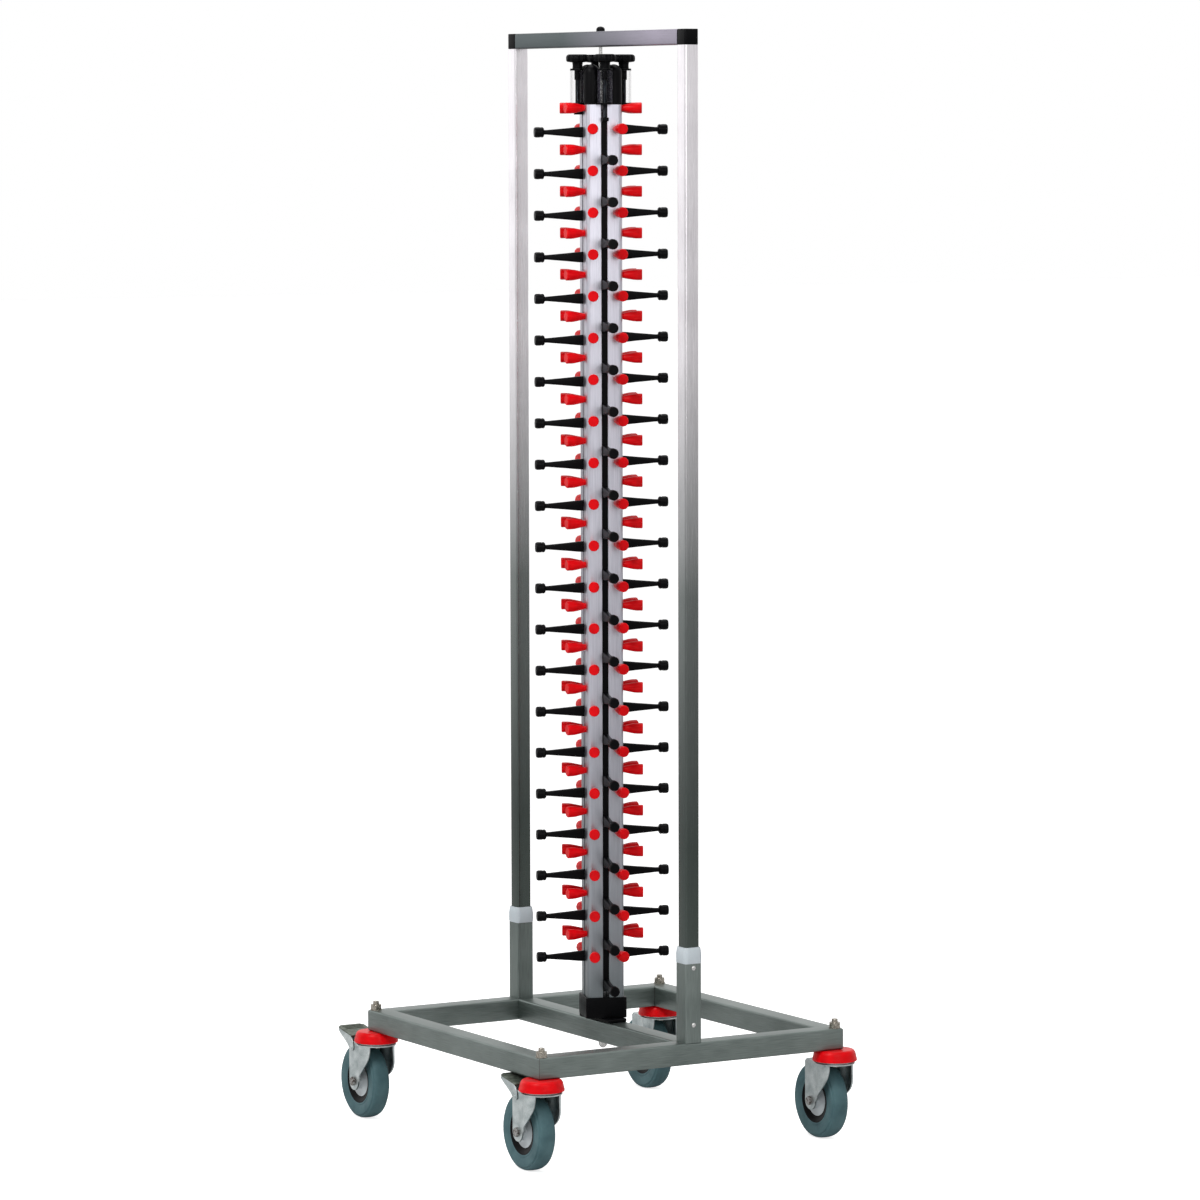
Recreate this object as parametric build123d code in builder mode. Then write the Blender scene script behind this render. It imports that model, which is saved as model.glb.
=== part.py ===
from build123d import *
import os
from math import atan2, cos, degrees, pi, radians, sin

# Plate rack cart: a square tube base on four swivel castors, a tall portal of square
# tube, and a turning column whose four faces each carry 21 plate places. A plate is
# held by its edge: two pegs press on its rim and one arm below carries its base. A
# hand knob at the top of each face raises and lowers all the arms of that face.
#
# Millimetres. +Z is up, the origin is on the floor under the column's axis, and the
# portal stands in the XZ plane. Front is +X, right is +Y. Castors trail towards -X.

# Small round pieces that repeat are drawn with few sides. A shaft's corners lie on its
# radius and a hole's flats on its own, so every running fit keeps its clearance.

# ---- driving dimensions ----

# Sides of round pieces
WHEEL_SIDES = 20
DISC_SIDES = 8
SHAFT_SIDES = 8
STUD_SIDES = 8
PEG_SIDES = 6
TIP_SIDES = 6

# Base frame
FRAME_SIZE = 570.0  # outside width and depth
RAIL = 35.0  # side of the base's square tube
RAIL_WALL = 2.0
TUBE_CORNER = 2.5  # outside corner radius of the tubes
FRAME_BOTTOM = 151.0  # underside of the base above the floor

# Portal
HEADROOM = 12.0  # from the knobs up to the crossbar
UPRIGHT = 25.0  # side of the uprights and the crossbar
UPRIGHT_WALL = 2.0
SOCKET = 30.0  # outside of the sockets that the uprights drop into
SOCKET_WALL = 2.0
SOCKET_HEIGHT = 128.0
COLLAR_HEIGHT = 26.0
COLLAR_FOOT = 31.0
COLLAR_BELLY = 34.0
COLLAR_MOUTH = 29.0
COLLAR_CORNER = 8.0
COLLAR_GAP = 0.2  # between collar and upright
JOINT_PLUG = 22.0  # how far a corner joint's spigot enters a tube
PLUG_FIT = 0.2
SCREW_HEAD = 4.0
SCREW_RISE = 1.8
SCREW_DROP = 7.0  # upper screw below the socket's top
SCREW_LIFT = 29.0  # lower screw above the frame

# Tie rod
ROD_RADIUS = 3.0
ROD_FIT = 0.05  # running fit of the column's ends on the rod
ROD_HOLE = 3.25  # radius of the holes through the fixed tubes
CAP_NUT_RADIUS = 7.0
CAP_NUT_HEIGHT = 8.0
ROD_NUT_RADIUS = 7.5
ROD_NUT_HEIGHT = 13.0
ROD_SUNK = 5.0  # rod's ends below the crowns of its nuts

# Column
PAD_LENGTH = 100.0
PAD_HEIGHT = 6.0
FOOT_SIZE = 68.0
FOOT_HEIGHT = 34.0
COLUMN_SIZE = 61.0  # across the flats
COLUMN_TURN = -20.0  # the way the front face looks, from +X
SLOT = 11.5  # gap between two profiles
PROFILE_CORNER = 4.0
PROFILE_WALL = 2.0
SLOT_WALL = 4.5  # wall beside a slot, thick enough for its groove
GROOVE_RADIUS = 20.0  # middle of the guide groove, from the axis
GROOVE_WIDTH = 4.0
GROOVE_DEPTH = 3.0
SPIGOT_HEIGHT = 14.0
SPIGOT_FIT = 0.25

# Head of the column
HEAD_PLATE = 3.0
SPINDLE_CIRCLE = 38.0  # spindles, from the column's axis
EAR_RADIUS = 12.5
SPINDLE_HOLE = 4.5
POST_RADIUS = 13.4
POST_CIRCLE = 18.1  # posts, from the two middle planes
POST_HEIGHT = 62.0
POST_DOME = 13.0
SLEEVE_RADIUS = 12.25
SLEEVE_WALL = 1.75
SLEEVE_HEIGHT = 52.0

# Plate places
LEVELS = 21
PITCH = 67.3
FIRST_PEG_DROP = 5.5  # top peg's axis below the column's top
PEG_SPREAD = 18.5  # peg's root from the middle of its face
PEG_SPLAY = 11.0  # degrees outwards
PEG_ROOT = 11.0
PEG_END = 18.0
PEG_LENGTH = 36.5
PEG_SINK = 3.0  # part of the length that is drawn past the face and cut off

# Arms; a gap is measured from a pair of pegs down to its arm
GAP_MAX = 51.0
GAP_MIN = 31.0
GAPS = {"front": 50.0, "right": 34.5, "back": 39.0, "left": 39.0}
ARM_ROOT = 17.8
ARM_END = 7.5
ARM_WIDTH = 9.0
ARM_REACH = 94.5  # end of the beam, from the column's axis
TIP_SIZE = 17.0
TIP_LENGTH = 15.5

# Rack bars
BAR_INNER = 14.0
BAR_OUTER = 33.0
BAR_FIT = 0.25  # running clearance in the slot
BAR_TAIL = 11.0  # below the lowest arm's axis
BAR_HEADROOM = 2.0  # under the head at the smallest gap
BAR_FOOTROOM = 8.85  # above the foot at the largest gap
LUG_REACH = 11.0
LUG_HEIGHT = 6.0

# Knobs and spindles
SPINDLE_RADIUS = 4.0
SPINDLE_ROOM = 1.5  # above a spindle, in its knob, at the smallest gap
THREAD_FIT = 0.05
KNOB_BOSS = 7.0
KNOB_BOSS_HEIGHT = 15.0
KNOB_FLANGE = 12.25
KNOB_FLANGE_HEIGHT = 3.0
KNOB_NECK = 8.2
KNOB_NECK_HEIGHT = 11.0
KNOB_DISC = 18.5
KNOB_DISC_HEIGHT = 12.0
KNOB_ROUNDING = 3.0
KNOB_ROOF = 1.5  # over the blind bore

# Castors
PIVOT_INSET = 10.0  # swivel axes, in from the outsides of the rails
TRAIL = 40.0
WHEEL_RADIUS = 62.5
TYRE_WIDTH = 32.0
TREAD_WIDTH = 18.0
TYRE_SHOULDER = 55.0
RIM_RADIUS = 37.0
RIM_WIDTH = 27.0
HUB_RADIUS = 26.0
HUB_WIDTH = 37.4
AXLE_RADIUS = 4.0
AXLE_FIT = 0.05
AXLE_FLATS = 13.0
AXLE_HEAD = 4.5
FORK_PLATE = 2.5
FORK_GAP = 38.0  # between the legs beside the wheel
FORK_BELLY = 30.5  # outer radius of the legs' front part, round the swivel axis
BELLY_ANGLES = (100.0, 72.0, 45.0, 20.0)  # corners of that part, from straight ahead
LEG_BEND = -26.0  # where the straight part of a leg begins, from the swivel axis
CROWN_BOTTOM = 127.5
CROWN_RADIUS = 33.0
CROWN_BACK = 56.0
CROWN_FRONT = 20.0  # front end of the legs, where they leave the crown
RACE_HEIGHT = 3.0
FORK_EYE = 15.0
LEG_FRONT = ((-20.0, 66.0), (-6.0, 76.0), (10.0, 92.0), (18.0, 112.0))  # from the swivel axis and the floor
KING_RADIUS = 6.0
KING_FIT = 0.05
KING_HEAD = 9.0
KING_HEAD_HEIGHT = 5.0
RACE_RADIUS = 28.0
RACE_THICKNESS = 5.0
SWIVEL_GAP = 0.3
BOSS_RADIUS = 9.0
STUD_RADIUS = 5.0
STUD_HOLE = 5.25
NUT_FLATS = 17.0
NUT_HEIGHT = 9.6
STUD_END = 5.5  # above the nut

# Bumper rings
RING_HEIGHT = 18.0
RING_TOP = 31.0
RING_RADIUS = 36.5
RING_LIP = 5.0
RING_WALL = 2.5

# Brake pedals, on the two castors of the left side
PEDAL_PIVOT = (-44.0, 119.0)  # from the swivel axis, above the floor
PIN_RADIUS = 3.0
PIN_FIT = 0.05
PIN_END = 25.0  # from the wheel's middle plane
CHEEK = 2.0
CHEEK_INNER = 22.0
CHEEK_BACK = -89.0
CHEEK_DEPTH = 5.0  # at its back end, below the tread
CHEEK_EYE = 6.5  # round the pin
TREAD_FRONT = 42.0
TREAD_BACK = 93.0
TREAD_BOTTOM = 141.0
TREAD_PLATE = 2.5
SHOE_FRONT = 60.0
SHOE_BACK = 68.0
SHOE_BOTTOM = 127.6
SHOE_WIDTH = 28.0

# ---- sizes worked out from these ----

FRAME_TOP = FRAME_BOTTOM + RAIL
RAIL_CENTRE = (FRAME_SIZE - RAIL) / 2
SOCKET_TOP = FRAME_TOP + SOCKET_HEIGHT
UPRIGHT_X = (FRAME_SIZE - SOCKET) / 2
FOOT_BOTTOM = FRAME_TOP + PAD_HEIGHT
COLUMN_BOTTOM = FOOT_BOTTOM + FOOT_HEIGHT
LEVELS_HEIGHT = (LEVELS - 0.5) * PITCH  # front and back sit half a pitch lower
COLUMN_LENGTH = FIRST_PEG_DROP + LEVELS_HEIGHT + GAP_MAX + BAR_TAIL + BAR_FOOTROOM
COLUMN_TOP = COLUMN_BOTTOM + COLUMN_LENGTH
FACE = COLUMN_SIZE / 2
CAVITY = FACE - SLOT / 2 - PROFILE_WALL - SLOT_WALL
CAVITY_CENTRE = FACE - PROFILE_WALL - CAVITY / 2
SLEEVE_TOP = COLUMN_TOP + HEAD_PLATE + SLEEVE_HEIGHT
FLANGE_TOP = SLEEVE_TOP + KNOB_FLANGE_HEIGHT
DISC_BOTTOM = FLANGE_TOP + KNOB_NECK_HEIGHT
KNOB_TOP = DISC_BOTTOM + KNOB_DISC_HEIGHT
SPINDLE_LENGTH = KNOB_TOP - KNOB_ROOF - SPINDLE_ROOM - COLUMN_TOP + BAR_HEADROOM
UPRIGHT_TOP = KNOB_TOP + HEADROOM
HEIGHT = UPRIGHT_TOP + UPRIGHT
PIVOT = FRAME_SIZE / 2 - PIVOT_INSET
FORK_OUTER = FORK_GAP / 2 + FORK_PLATE
CROWN_TOP = CROWN_BOTTOM + FORK_PLATE
RACE_BOTTOM = CROWN_TOP + RACE_HEIGHT + SWIVEL_GAP
KING_TOP = CROWN_BOTTOM - SWIVEL_GAP
STUD_TOP = FRAME_TOP + NUT_HEIGHT + STUD_END
FACES = {"front": 0, "right": 90, "back": 180, "left": 270}
CASTORS = {
    "front_left": (PIVOT, -PIVOT),
    "back_left": (-PIVOT, -PIVOT),
    "front_right": (PIVOT, PIVOT),
    "back_right": (-PIVOT, PIVOT),
}
BRAKED = ("front_left", "back_left")
PIVOTS = list(CASTORS.values())
UPRIGHT_CENTRES = [(UPRIGHT_X, 0), (-UPRIGHT_X, 0)]


def first_peg(face):
    """Height of a face's top pegs; front and back sit half a pitch lower."""
    return COLUMN_TOP - FIRST_PEG_DROP - (PITCH / 2 if face in ("front", "back") else 0)


def levels(face, drop):
    """Locations of a face's 21 places, each the given drop below its pegs."""
    turn = COLUMN_TURN + FACES[face]
    top = first_peg(face) - drop
    return [Location((0, 0, top - n * PITCH), (0, 0, turn)) for n in range(LEVELS)]


def turned(face, height):
    """Horizontal plane on the column's axis with X out through a face."""
    turn = radians(COLUMN_TURN + FACES[face])
    return Plane((0, 0, height), x_dir=(cos(turn), sin(turn), 0))


def square_tube(side, wall):
    """Draws a square tube's section in the open sketch."""
    bevelled(side, TUBE_CORNER)
    Rectangle(side - 2 * wall, side - 2 * wall, mode=Mode.SUBTRACT)


def bevelled(side, corner):
    """Draws a square with cut corners in the open sketch."""
    square = Rectangle(side, side)
    chamfer(square.vertices(), corner / 2)


def slope(low_radius, high_radius, height, sides):
    """Taper, in degrees, of a polygonal prism that goes from one radius to another."""
    return degrees(atan2((low_radius - high_radius) * cos(pi / sides), height))


def lengthwise(x, height):
    """Plane across the X direction, centred on the middle plane."""
    return Plane((x, 0, height), x_dir=(0, 1, 0), z_dir=(1, 0, 0))


def disc(radius, low, high, sides, points=((0, 0),)):
    """Prism of a regular polygon at each point, from one height to another."""
    with BuildSketch(Plane.XY.offset(low)) as outline:
        with Locations(*points):
            RegularPolygon(radius, sides)
    extrude(outline.sketch, amount=high - low)


def hole(radius, low, high, sides, points=((0, 0),)):
    """Cuts a polygonal hole, measured across its flats, at each point."""
    with BuildSketch(Plane.XY.offset(low)) as outline:
        with Locations(*points):
            RegularPolygon(radius, sides, major_radius=False)
    extrude(outline.sketch, amount=high - low, mode=Mode.SUBTRACT)


def cone(radius_low, radius_high, low, high, sides, points=((0, 0),), mode=Mode.ADD):
    """Tapered polygonal prism at each point."""
    taper = slope(radius_low, radius_high, high - low, sides)
    with BuildSketch(Plane.XY.offset(low)) as outline:
        with Locations(*points):
            RegularPolygon(radius_low, sides)
    extrude(outline.sketch, amount=high - low, taper=taper, mode=mode)


def side_view(name, offset):
    """Plane beside a castor: X forwards from its pivot, Y up from the floor."""
    x, y = CASTORS[name]
    return Plane((x, y + offset, 0), x_dir=(1, 0, 0), z_dir=(0, -1, 0))


def save(part, label):
    part.label = label
    export_step(part, f"parts/{label}.step")


os.makedirs("parts", exist_ok=True)

# ---- base frame: four mitred square tubes, welded at the corners ----

for name, side in (("front", 0), ("right", 90), ("back", 180), ("left", 270)):
    out = (cos(radians(side)), sin(radians(side)))
    rail_plane = Plane(
        (RAIL_CENTRE * out[0], RAIL_CENTRE * out[1], FRAME_BOTTOM + RAIL / 2),
        x_dir=(out[0], out[1], 0),
        z_dir=(-out[1], out[0], 0),
    )
    with BuildPart() as rail:
        with BuildSketch(rail_plane):
            square_tube(RAIL, RAIL_WALL)
        extrude(amount=FRAME_SIZE / 2, both=True)
        for skew in (-45, 45):
            mitre = radians(side + skew)
            split(bisect_by=Plane((0, 0, 0), z_dir=(cos(mitre), sin(mitre), 0)), keep=Keep.TOP)
        hole(STUD_HOLE, FRAME_BOTTOM, FRAME_TOP, STUD_SIDES, PIVOTS)
    save(rail.part, f"rail_{name}")

# ---- cross beam between the front and back rails, drilled for the tie rod ----

with BuildPart() as cross_beam:
    with BuildSketch(lengthwise(RAIL - FRAME_SIZE / 2, FRAME_BOTTOM + RAIL / 2)):
        square_tube(RAIL, RAIL_WALL)
    extrude(amount=FRAME_SIZE - 2 * RAIL)
    hole(ROD_HOLE, FRAME_BOTTOM, FRAME_TOP, STUD_SIDES)
save(cross_beam.part, "cross_beam")

# ---- sockets for the uprights, and the screws that hold the uprights in them ----

with BuildPart() as upright_sockets:
    with BuildSketch(Plane.XY.offset(FRAME_TOP)):
        with Locations(*UPRIGHT_CENTRES):
            square_tube(SOCKET, SOCKET_WALL)
    extrude(amount=SOCKET_HEIGHT)
save(upright_sockets.part, "upright_sockets")

with BuildPart() as socket_screws:
    for direction in (1, -1):
        for height in (FRAME_TOP + SCREW_LIFT, SOCKET_TOP - SCREW_DROP):
            screw_plane = Plane(
                (direction * FRAME_SIZE / 2, 0, height), z_dir=(direction, 0, 0)
            )
            with BuildSketch(screw_plane):
                RegularPolygon(SCREW_HEAD, 6)
            extrude(amount=SCREW_RISE)
save(socket_screws.part, "socket_screws")

# ---- collars: bellied plastic sleeves where the uprights leave the sockets ----

collar_profile = (
    (0, COLLAR_FOOT),
    (COLLAR_HEIGHT * 0.25, COLLAR_BELLY),
    (COLLAR_HEIGHT * 0.7, COLLAR_BELLY),
    (COLLAR_HEIGHT, COLLAR_MOUTH),
)
with BuildPart() as collars:
    for (low, low_size), (high, high_size) in zip(collar_profile, collar_profile[1:]):
        with BuildSketch(Plane.XY.offset(SOCKET_TOP + low)):
            with Locations(*UPRIGHT_CENTRES):
                bevelled(low_size, COLLAR_CORNER)
        extrude(
            amount=high - low, taper=degrees(atan2((low_size - high_size) / 2, high - low))
        )
    with BuildSketch(Plane.XY.offset(SOCKET_TOP)):
        with Locations(*UPRIGHT_CENTRES):
            Rectangle(UPRIGHT + 2 * COLLAR_GAP, UPRIGHT + 2 * COLLAR_GAP)
    extrude(amount=COLLAR_HEIGHT, mode=Mode.SUBTRACT)
save(collars.part, "collars")

# ---- uprights, crossbar and the corner joints that plug into both ----

with BuildPart() as uprights:
    with BuildSketch(Plane.XY.offset(FRAME_TOP)):
        with Locations(*UPRIGHT_CENTRES):
            square_tube(UPRIGHT, UPRIGHT_WALL)
    extrude(amount=UPRIGHT_TOP - FRAME_TOP)
save(uprights.part, "uprights")

bar_half = UPRIGHT_X - UPRIGHT / 2
with BuildPart() as crossbar:
    with BuildSketch(lengthwise(-bar_half, HEIGHT - UPRIGHT / 2)):
        square_tube(UPRIGHT, UPRIGHT_WALL)
    extrude(amount=2 * bar_half)
    hole(ROD_HOLE, UPRIGHT_TOP, HEIGHT, STUD_SIDES)
save(crossbar.part, "crossbar")

plug = UPRIGHT - 2 * UPRIGHT_WALL - 2 * PLUG_FIT
with BuildPart() as corner_joints:
    with BuildSketch(Plane.XY.offset(UPRIGHT_TOP)):
        with Locations(*UPRIGHT_CENTRES):
            bevelled(UPRIGHT, TUBE_CORNER)
    extrude(amount=UPRIGHT)
    with BuildSketch(Plane.XY.offset(UPRIGHT_TOP)):
        with Locations(*UPRIGHT_CENTRES):
            Rectangle(plug, plug)
    extrude(amount=-JOINT_PLUG)
    for direction in (1, -1):
        with BuildSketch(Plane.YZ.offset(direction * bar_half)):
            with Locations((0, HEIGHT - UPRIGHT / 2)):
                Rectangle(plug, plug)
        extrude(amount=-direction * JOINT_PLUG)
save(corner_joints.part, "corner_joints")

# ---- tie rod down the column's axis, with a domed nut at each end ----

rod_bottom = FRAME_BOTTOM - ROD_NUT_HEIGHT + ROD_SUNK
rod_top = HEIGHT + CAP_NUT_HEIGHT - ROD_SUNK
with BuildPart() as tie_rod:
    disc(ROD_RADIUS, rod_bottom, rod_top, SHAFT_SIDES)
save(tie_rod.part, "tie_rod")

cap_waist = HEIGHT + CAP_NUT_HEIGHT / 2
with BuildPart() as cap_nut:
    disc(CAP_NUT_RADIUS, HEIGHT, cap_waist, DISC_SIDES)
    cone(CAP_NUT_RADIUS, CAP_NUT_RADIUS / 2, cap_waist, HEIGHT + CAP_NUT_HEIGHT, DISC_SIDES)
    hole(ROD_RADIUS, HEIGHT, rod_top, SHAFT_SIDES)
save(cap_nut.part, "cap_nut")

with BuildPart() as nut_shape:
    disc(ROD_NUT_RADIUS, 0, ROD_NUT_HEIGHT / 2, DISC_SIDES)
    cone(ROD_NUT_RADIUS, ROD_NUT_RADIUS / 2, ROD_NUT_HEIGHT / 2, ROD_NUT_HEIGHT, DISC_SIDES)

with BuildPart() as rod_nut:
    with Locations(Location((0, 0, FRAME_BOTTOM), (180, 0, 0))):
        add(nut_shape.part)
    hole(ROD_RADIUS, rod_bottom, FRAME_BOTTOM, SHAFT_SIDES)
save(rod_nut.part, "rod_nut")

# ---- column: pad, foot, four hollow profiles round a cross of slots, head ----

with BuildPart() as column_pad:
    with BuildSketch(Plane.XY.offset(FRAME_TOP)):
        Rectangle(PAD_LENGTH, RAIL - 1)
        RegularPolygon(ROD_HOLE, STUD_SIDES, major_radius=False, mode=Mode.SUBTRACT)
    extrude(amount=PAD_HEIGHT)
save(column_pad.part, "column_pad")

column_base = turned("front", COLUMN_BOTTOM)
column_end = turned("front", COLUMN_TOP)
diagonals = [(x, y) for x in (-1, 1) for y in (-1, 1)]
cavities = [(x * CAVITY_CENTRE, y * CAVITY_CENTRE) for x, y in diagonals]
posts = [(x * POST_CIRCLE, y * POST_CIRCLE) for x, y in diagonals]
spigot = CAVITY - 2 * SPIGOT_FIT
groove_span = SLOT + 2 * GROOVE_DEPTH

with BuildPart() as column_foot:
    with BuildSketch(turned("front", FOOT_BOTTOM)):
        bevelled(FOOT_SIZE, TUBE_CORNER)
    extrude(amount=FOOT_HEIGHT)
    with BuildSketch(column_base):
        with Locations(*cavities):
            Rectangle(spigot, spigot)
    extrude(amount=SPIGOT_HEIGHT)
    hole(ROD_RADIUS + ROD_FIT, FOOT_BOTTOM, COLUMN_BOTTOM, SHAFT_SIDES)
save(column_foot.part, "column_foot")

with BuildPart() as column_profiles:
    with BuildSketch(column_base):
        bevelled(COLUMN_SIZE, PROFILE_CORNER)
        Rectangle(COLUMN_SIZE, SLOT, mode=Mode.SUBTRACT)
        Rectangle(SLOT, COLUMN_SIZE, mode=Mode.SUBTRACT)
        with Locations(*cavities):
            Rectangle(CAVITY, CAVITY, mode=Mode.SUBTRACT)
        with PolarLocations(GROOVE_RADIUS, 4):
            Rectangle(GROOVE_WIDTH, groove_span, mode=Mode.SUBTRACT)
    extrude(amount=COLUMN_LENGTH)
save(column_profiles.part, "column_profiles")

with BuildPart() as column_head:
    with BuildSketch(column_end):
        bevelled(COLUMN_SIZE, PROFILE_CORNER)
        with PolarLocations(SPINDLE_CIRCLE, 4):
            RegularPolygon(EAR_RADIUS, DISC_SIDES)
        with PolarLocations(SPINDLE_CIRCLE, 4):
            RegularPolygon(SPINDLE_HOLE, STUD_SIDES, major_radius=False, mode=Mode.SUBTRACT)
    extrude(amount=HEAD_PLATE)
    with BuildSketch(column_end.offset(HEAD_PLATE)):
        with Locations(*posts):
            RegularPolygon(POST_RADIUS, DISC_SIDES)
    extrude(amount=POST_HEIGHT - POST_DOME)
    with BuildSketch(column_end.offset(HEAD_PLATE + POST_HEIGHT - POST_DOME)):
        with Locations(*posts):
            RegularPolygon(POST_RADIUS, DISC_SIDES)
    extrude(amount=POST_DOME, taper=slope(POST_RADIUS, POST_RADIUS / 2, POST_DOME, DISC_SIDES))
    with BuildSketch(column_end):
        with Locations(*cavities):
            Rectangle(spigot, spigot)
    extrude(amount=-SPIGOT_HEIGHT)
    hole(ROD_RADIUS + ROD_FIT, COLUMN_TOP, COLUMN_TOP + HEAD_PLATE, SHAFT_SIDES)
save(column_head.part, "column_head")

with BuildPart() as sleeves:
    with BuildSketch(column_end.offset(HEAD_PLATE)):
        with PolarLocations(SPINDLE_CIRCLE, 4):
            RegularPolygon(SLEEVE_RADIUS, DISC_SIDES)
            RegularPolygon(SLEEVE_RADIUS - SLEEVE_WALL, DISC_SIDES, mode=Mode.SUBTRACT)
    extrude(amount=SLEEVE_HEIGHT)
save(sleeves.part, "sleeves")

# ---- pegs: each narrows from a fat end to its root, splayed outwards and cut flush
# ---- with its face, in mirrored pairs

splay = radians(PEG_SPLAY)
peg_reach = PEG_LENGTH - PEG_SINK
peg_plane = Plane(
    (FACE + peg_reach * cos(splay), PEG_SPREAD + peg_reach * sin(splay), 0),
    x_dir=(-sin(splay), cos(splay), 0),
    z_dir=(-cos(splay), -sin(splay), 0),
)
with BuildPart() as peg:
    cone(PEG_END / 2, PEG_ROOT / 2, 0, PEG_LENGTH, PEG_SIDES)

with BuildPart() as peg_pair:
    with Locations(peg_plane.location):
        add(peg.part)
    split(bisect_by=Plane.YZ.offset(FACE), keep=Keep.TOP)
    mirror(about=Plane.XZ)

for face in FACES:
    with BuildPart() as pegs:
        with Locations(*levels(face, 0)):
            add(peg_pair.part)
    save(pegs.part, f"pegs_{face}")

# ---- arms: a beam that tapers to a thin end, and the fat tip on that end ----

with BuildPart() as arm:
    with BuildSketch(Plane.XZ):
        with BuildLine():
            Polyline(
                (BAR_OUTER, -ARM_ROOT / 2),
                (ARM_REACH, -ARM_END / 2),
                (ARM_REACH, ARM_END / 2),
                (BAR_OUTER, ARM_ROOT / 2),
                close=True,
            )
        make_face()
    extrude(amount=ARM_WIDTH / 2, both=True)

with BuildPart() as tip:
    with BuildSketch(Plane.YZ.offset(ARM_REACH)):
        RegularPolygon(TIP_SIZE / 2, TIP_SIDES)
    extrude(amount=TIP_LENGTH)

# ---- racks: each bar has two guide tongues and a lug at its top, where a threaded
# ---- spindle stands; the spindle's upper end is inside the knob

bar_width = SLOT - 2 * BAR_FIT
tongue_width = GROOVE_WIDTH - 2 * BAR_FIT
tongue_span = groove_span - 2 * BAR_FIT
for face in FACES:
    bar_top = COLUMN_TOP - BAR_HEADROOM - (GAPS[face] - GAP_MIN)
    bar_bottom = first_peg(face) - GAPS[face] - (LEVELS - 1) * PITCH - BAR_TAIL
    with BuildPart() as rack_bar:
        with BuildSketch(turned(face, bar_bottom)):
            with Locations(((BAR_INNER + BAR_OUTER) / 2, 0)):
                Rectangle(BAR_OUTER - BAR_INNER, bar_width)
            with Locations((GROOVE_RADIUS, 0)):
                Rectangle(tongue_width, tongue_span)
        extrude(amount=bar_top - bar_bottom)
        with BuildSketch(turned(face, bar_top - LUG_HEIGHT)):
            with Locations((BAR_OUTER + LUG_REACH / 2, 0)):
                Rectangle(LUG_REACH, bar_width)
        extrude(amount=LUG_HEIGHT)
    save(rack_bar.part, f"rack_bar_{face}")

    with BuildPart() as arms:
        with Locations(*levels(face, GAPS[face])):
            add(arm.part)
            add(tip.part)
    save(arms.part, f"arms_{face}")

    with BuildPart() as spindle:
        with BuildSketch(turned(face, bar_top)):
            with Locations((SPINDLE_CIRCLE, 0)):
                RegularPolygon(SPINDLE_RADIUS, SHAFT_SIDES)
        extrude(amount=SPINDLE_LENGTH)
    save(spindle.part, f"spindle_{face}")

# ---- hand knobs: a wide disc on a neck, a flange that bears on the sleeve, and a
# ---- threaded boss inside the sleeve; the bore is blind

boss_bottom = SLEEVE_TOP - KNOB_BOSS_HEIGHT
for face in FACES:
    centre = turned(face, 0).from_local_coords((SPINDLE_CIRCLE, 0, 0))
    spot = ((centre.X, centre.Y),)
    with BuildPart() as knob:
        disc(KNOB_BOSS, boss_bottom, SLEEVE_TOP, STUD_SIDES, spot)
        disc(KNOB_FLANGE, SLEEVE_TOP, FLANGE_TOP, DISC_SIDES, spot)
        disc(KNOB_NECK, FLANGE_TOP, DISC_BOTTOM, STUD_SIDES, spot)
        disc(KNOB_DISC, DISC_BOTTOM, KNOB_TOP - KNOB_ROUNDING, DISC_SIDES, spot)
        cone(
            KNOB_DISC, KNOB_DISC - KNOB_ROUNDING, KNOB_TOP - KNOB_ROUNDING, KNOB_TOP,
            DISC_SIDES, spot,
        )
        hole(
            SPINDLE_RADIUS + THREAD_FIT, boss_bottom, KNOB_TOP - KNOB_ROOF, SHAFT_SIDES, spot
        )
    save(knob.part, f"knob_{face}")

# ---- castor studs: king pin, race and threaded stud in one turned piece ----

ring_roof = FRAME_BOTTOM - RING_WALL
with BuildPart() as castor_studs:
    disc(KING_HEAD, KING_TOP - KING_HEAD_HEIGHT, KING_TOP, STUD_SIDES, PIVOTS)
    disc(KING_RADIUS, KING_TOP, RACE_BOTTOM, SHAFT_SIDES, PIVOTS)
    disc(RACE_RADIUS, RACE_BOTTOM, RACE_BOTTOM + RACE_THICKNESS, DISC_SIDES, PIVOTS)
    disc(BOSS_RADIUS, RACE_BOTTOM + RACE_THICKNESS, ring_roof, STUD_SIDES, PIVOTS)
    disc(STUD_RADIUS, ring_roof, STUD_TOP, STUD_SIDES, PIVOTS)
save(castor_studs.part, "castor_studs")

with BuildPart() as castor_nuts:
    with BuildSketch(Plane.XY.offset(FRAME_TOP)):
        with Locations(*PIVOTS):
            RegularPolygon(NUT_FLATS / 2, 6, major_radius=False)
            RegularPolygon(STUD_RADIUS, STUD_SIDES, mode=Mode.SUBTRACT)
    extrude(amount=NUT_HEIGHT)
save(castor_nuts.part, "castor_nuts")

# ---- bumper rings: flared hollow caps over the swivel heads ----

ring_bottom = FRAME_BOTTOM - RING_HEIGHT
lip_top = ring_bottom + RING_LIP
with BuildPart() as bumper_rings:
    disc(RING_RADIUS, ring_bottom, lip_top, DISC_SIDES, PIVOTS)
    cone(RING_RADIUS, RING_TOP, lip_top, FRAME_BOTTOM, DISC_SIDES, PIVOTS)
    cone(
        RING_RADIUS - RING_WALL, RING_TOP - RING_WALL, ring_bottom, ring_roof,
        DISC_SIDES, PIVOTS, Mode.SUBTRACT,
    )
    with BuildSketch(Plane.XY.offset(ring_roof)):
        with Locations(*PIVOTS):
            RegularPolygon(STUD_RADIUS, STUD_SIDES)
    extrude(amount=RING_WALL, mode=Mode.SUBTRACT)
save(bumper_rings.part, "bumper_rings")

# ---- castors: fork, axle, wheel centre and tyre, and a brake pedal on two ----

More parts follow.
